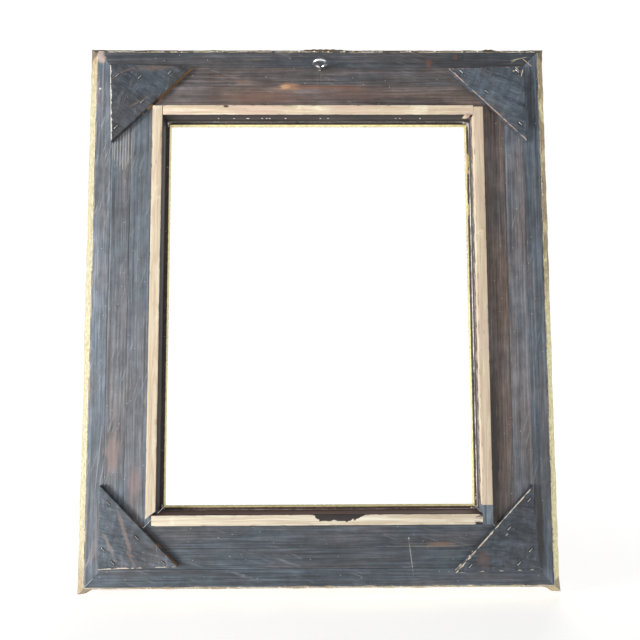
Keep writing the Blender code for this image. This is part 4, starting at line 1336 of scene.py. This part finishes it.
def make_ledge_brads():
    dice = random.Random(3)
    for side, alongs in LEDGE_BRADS.items():
        flat_normal = place(side, 1.0, 0.0, 0.0) - place(side, 0.0, 0.0, 0.0)
        verts, faces = [], []
        for along in alongs:
            out = -0.0016 - dice.uniform(0.0, 0.0015)
            lean = dice.uniform(-0.0008, 0.0008)
            path = []
            for t, _ in BRAD_SHAPE:
                path.append(place(side, along + lean * t, out + 0.0004 * t, LEDGE - 0.0002 - 0.0030 * t))
            brad_verts, brad_faces = sweep(path, lambda index, angle: BRAD_SHAPE[index][1], 9, flat_normal)
            base = len(verts)
            verts += brad_verts
            faces += [tuple(base + index for index in face) for face in brad_faces]
        add_piece(f"{side}_ledge_brads", verts, faces, STEEL, slot="staple_steel")


# A triangular bead in the corner of the ledge, as (out, depth) from that corner.
GLUE_SECTION = ((0.0, 0.0), (0.0, -0.0029), (-0.0008, -0.0021), (-0.0016, -0.0007), (-0.0017, 0.0))
# Places of the beads along the top seam.
SEAM_BEADS = (
    -0.199, -0.168, -0.142, -0.139, -0.112, -0.103, -0.097, -0.065, 0.0045, 0.020, 0.155, 0.1635, 0.204,
)


def make_glue_runs():
    """Runs of old glue where the rebate's wall meets its ledge."""
    for side, amount, seed in (("right", 0.75, 1.0), ("bottom", 0.35, 2.0), ("top", 0.22, 3.0)):
        length = half_length(side) - 0.004
        verts = []
        count = round(2 * length / 0.003)
        for station in range(count + 1):
            along = -length + 2 * length * station / count
            swell = amount * (0.35 + 0.75 * max(0.0, 0.45 + rough(along * 55.0, 0.0, 0.0, seed)))
            swell = max(0.12, swell * ease(rough(along * 14.0, 4.0, 0.0, seed), -0.35, 0.05))
            for out, depth in GLUE_SECTION:
                verts.append(place(side, along, -0.0004 + out * swell, LEDGE - 0.0001 + depth * swell))
        add_piece(f"{side}_glue_run", verts, swept_faces(count + 1, len(GLUE_SECTION)), GLUE, slot="raw_pine")


def make_glue_lumps():
    """Beads on the seam between the top lath and the rail, and crumbs in the corners of the rebate."""
    seam = [(place("top", along, -0.0003, 0.0014), (0.0017, 0.0010, 0.0009)) for along in SEAM_BEADS]
    lumps("top_seam_beads", seam, GLUE, "raw_pine")
    dice = random.Random(11)
    spots = []
    for corner_x, corner_z, count in ((1, 1, 14), (-1, 1, 5), (-1, -1, 7), (1, -1, 6)):
        for _ in range(count):
            size = dice.uniform(0.0007, 0.0019)
            x = corner_x * (HALF_X - 0.0005 - size - abs(dice.gauss(0.0, 0.004)))
            z = corner_z * (HALF_Z - 0.0005 - size - abs(dice.gauss(0.0, 0.010)))
            x = max(-HALF_X + 0.0022, min(HALF_X - 0.0022, x))
            if abs(x) < HALF_X - 0.0060:
                z = corner_z * (HALF_Z - 0.0026)
            else:
                x = corner_x * (HALF_X - 0.0030)
            spots.append((CENTRE + Vector((x, LEDGE - size * 0.6, z)), (size, size * 0.8, size)))
    lumps("rebate_corner_crumbs", spots, GLUE, "raw_pine")


make_rails()
make_laths()
for number, corner in enumerate(CORNERS):
    make_gusset(corner, 41.0 + number)
    for node in sorted(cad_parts):
        if node.startswith(f"{corner}_staple_"):
            make_staple(node, corner)
    make_corner_carving(corner)
make_leaf_tip()
make_screw_eye()
for number, (side, cover) in enumerate(zip(SIDES, (0.02, 0.10, 0.22, 0.30))):
    make_moulding(side, 50.0 + number)
    make_centre_carving(side)
    make_edge_skin(side, 70.0 + number, cover)
make_crumbs()
make_ledge_brads()
make_glue_runs()
make_glue_lumps()


# ---------------------------------------------------------------- stage, light and camera
def make_floor():
    n = Nodes("studio_floor")
    cloud = n.noise(n.place, 3.0, 3.0)
    color = n.ramp(cloud, (0.3, (0.66, 0.66, 0.655)), (0.7, (0.69, 0.69, 0.685)))
    n.finish(color, n.vary(cloud, 0.85, 0.95))
    n.shader.inputs["Emission Color"].default_value = (1.0, 1.0, 1.0, 1.0)
    n.put(n.shader.inputs["Emission Strength"], n.band(n.length(n.place), 0.9, 3.2, 0.66, 1.05))
    reach = 60.0
    count = 24
    verts, faces = [], []
    for row in range(count + 1):
        for column in range(count + 1):
            x, y = 2.0 * column / count - 1.0, 2.0 * row / count - 1.0
            verts.append((reach * x, reach * y, FLOOR_Z - 0.0002))
    for row in range(count):
        for column in range(count):
            a = row * (count + 1) + column
            faces.append((a, a + 1, a + count + 2, a + count + 1))
    mesh = bpy.data.meshes.new("studio_floor")
    mesh.from_pydata(verts, [], faces)
    mesh.materials.append(n.material)
    floor = bpy.data.objects.new("studio_floor", mesh)
    bpy.context.scene.collection.objects.link(floor)


def make_world():
    world = bpy.data.worlds.new("studio")
    world.use_nodes = True
    bpy.context.scene.world = world
    tree = world.node_tree
    soft = tree.nodes["Background"]
    soft.inputs["Color"].default_value = (0.97, 0.985, 1.0, 1.0)
    soft.inputs["Strength"].default_value = 0.32
    seen = tree.nodes.new("ShaderNodeBackground")
    seen.inputs["Color"].default_value = (1.0, 1.0, 1.0, 1.0)
    seen.inputs["Strength"].default_value = 1.05
    path = tree.nodes.new("ShaderNodeLightPath")
    blend = tree.nodes.new("ShaderNodeMixShader")
    tree.links.new(path.outputs["Is Camera Ray"], blend.inputs[0])
    tree.links.new(soft.outputs[0], blend.inputs[1])
    tree.links.new(seen.outputs[0], blend.inputs[2])
    tree.links.new(blend.outputs[0], tree.nodes["World Output"].inputs["Surface"])


def add_light(name, offset, size, power, color):
    """Soft light aimed at the frame's centre from an offset."""
    offset = Vector(offset)
    data = bpy.data.lights.new(name, "AREA")
    data.shape = "RECTANGLE"
    data.size, data.size_y = size
    data.energy = power
    data.color = color
    lamp = bpy.data.objects.new(name, data)
    lamp.location = CENTRE + offset
    lamp.rotation_mode = "QUATERNION"
    lamp.rotation_quaternion = (-offset).to_track_quat("-Z", "Y")
    lamp.visible_camera = False
    bpy.context.scene.collection.objects.link(lamp)


# The camera was solved from the frame's edges in the photograph: its place from the frame's centre, and its
# small turns about Z, X and Y from looking straight at the back.
CAMERA_OFFSET = (-0.0047, -0.9736, -0.083)
CAMERA_TURNS = (-0.0071, 0.0652, 0.0034)


def make_camera():
    data = bpy.data.cameras.new("camera")
    data.sensor_width = 36.0
    data.lens = 28.22
    camera = bpy.data.objects.new("camera", data)
    turn = Matrix.Identity(4)
    for angle, axis in zip(CAMERA_TURNS, "ZXY"):
        turn = turn @ Matrix.Rotation(angle, 4, axis)
    level = Matrix.Rotation(math.pi / 2, 4, "X")
    camera.matrix_world = Matrix.Translation(CENTRE + Vector(CAMERA_OFFSET)) @ turn @ level
    bpy.context.scene.collection.objects.link(camera)
    bpy.context.scene.camera = camera


make_floor()
make_world()
add_light("key_light", (-2.6, -1.25, -0.30), (0.8, 0.9), 112.0, (1.0, 0.985, 0.965))
add_light("front_light", (1.6, 2.6, 1.2), (1.6, 1.6), 27.0, (1.0, 0.97, 0.93))
make_camera()
bpy.context.scene.view_settings.view_transform = "Standard"
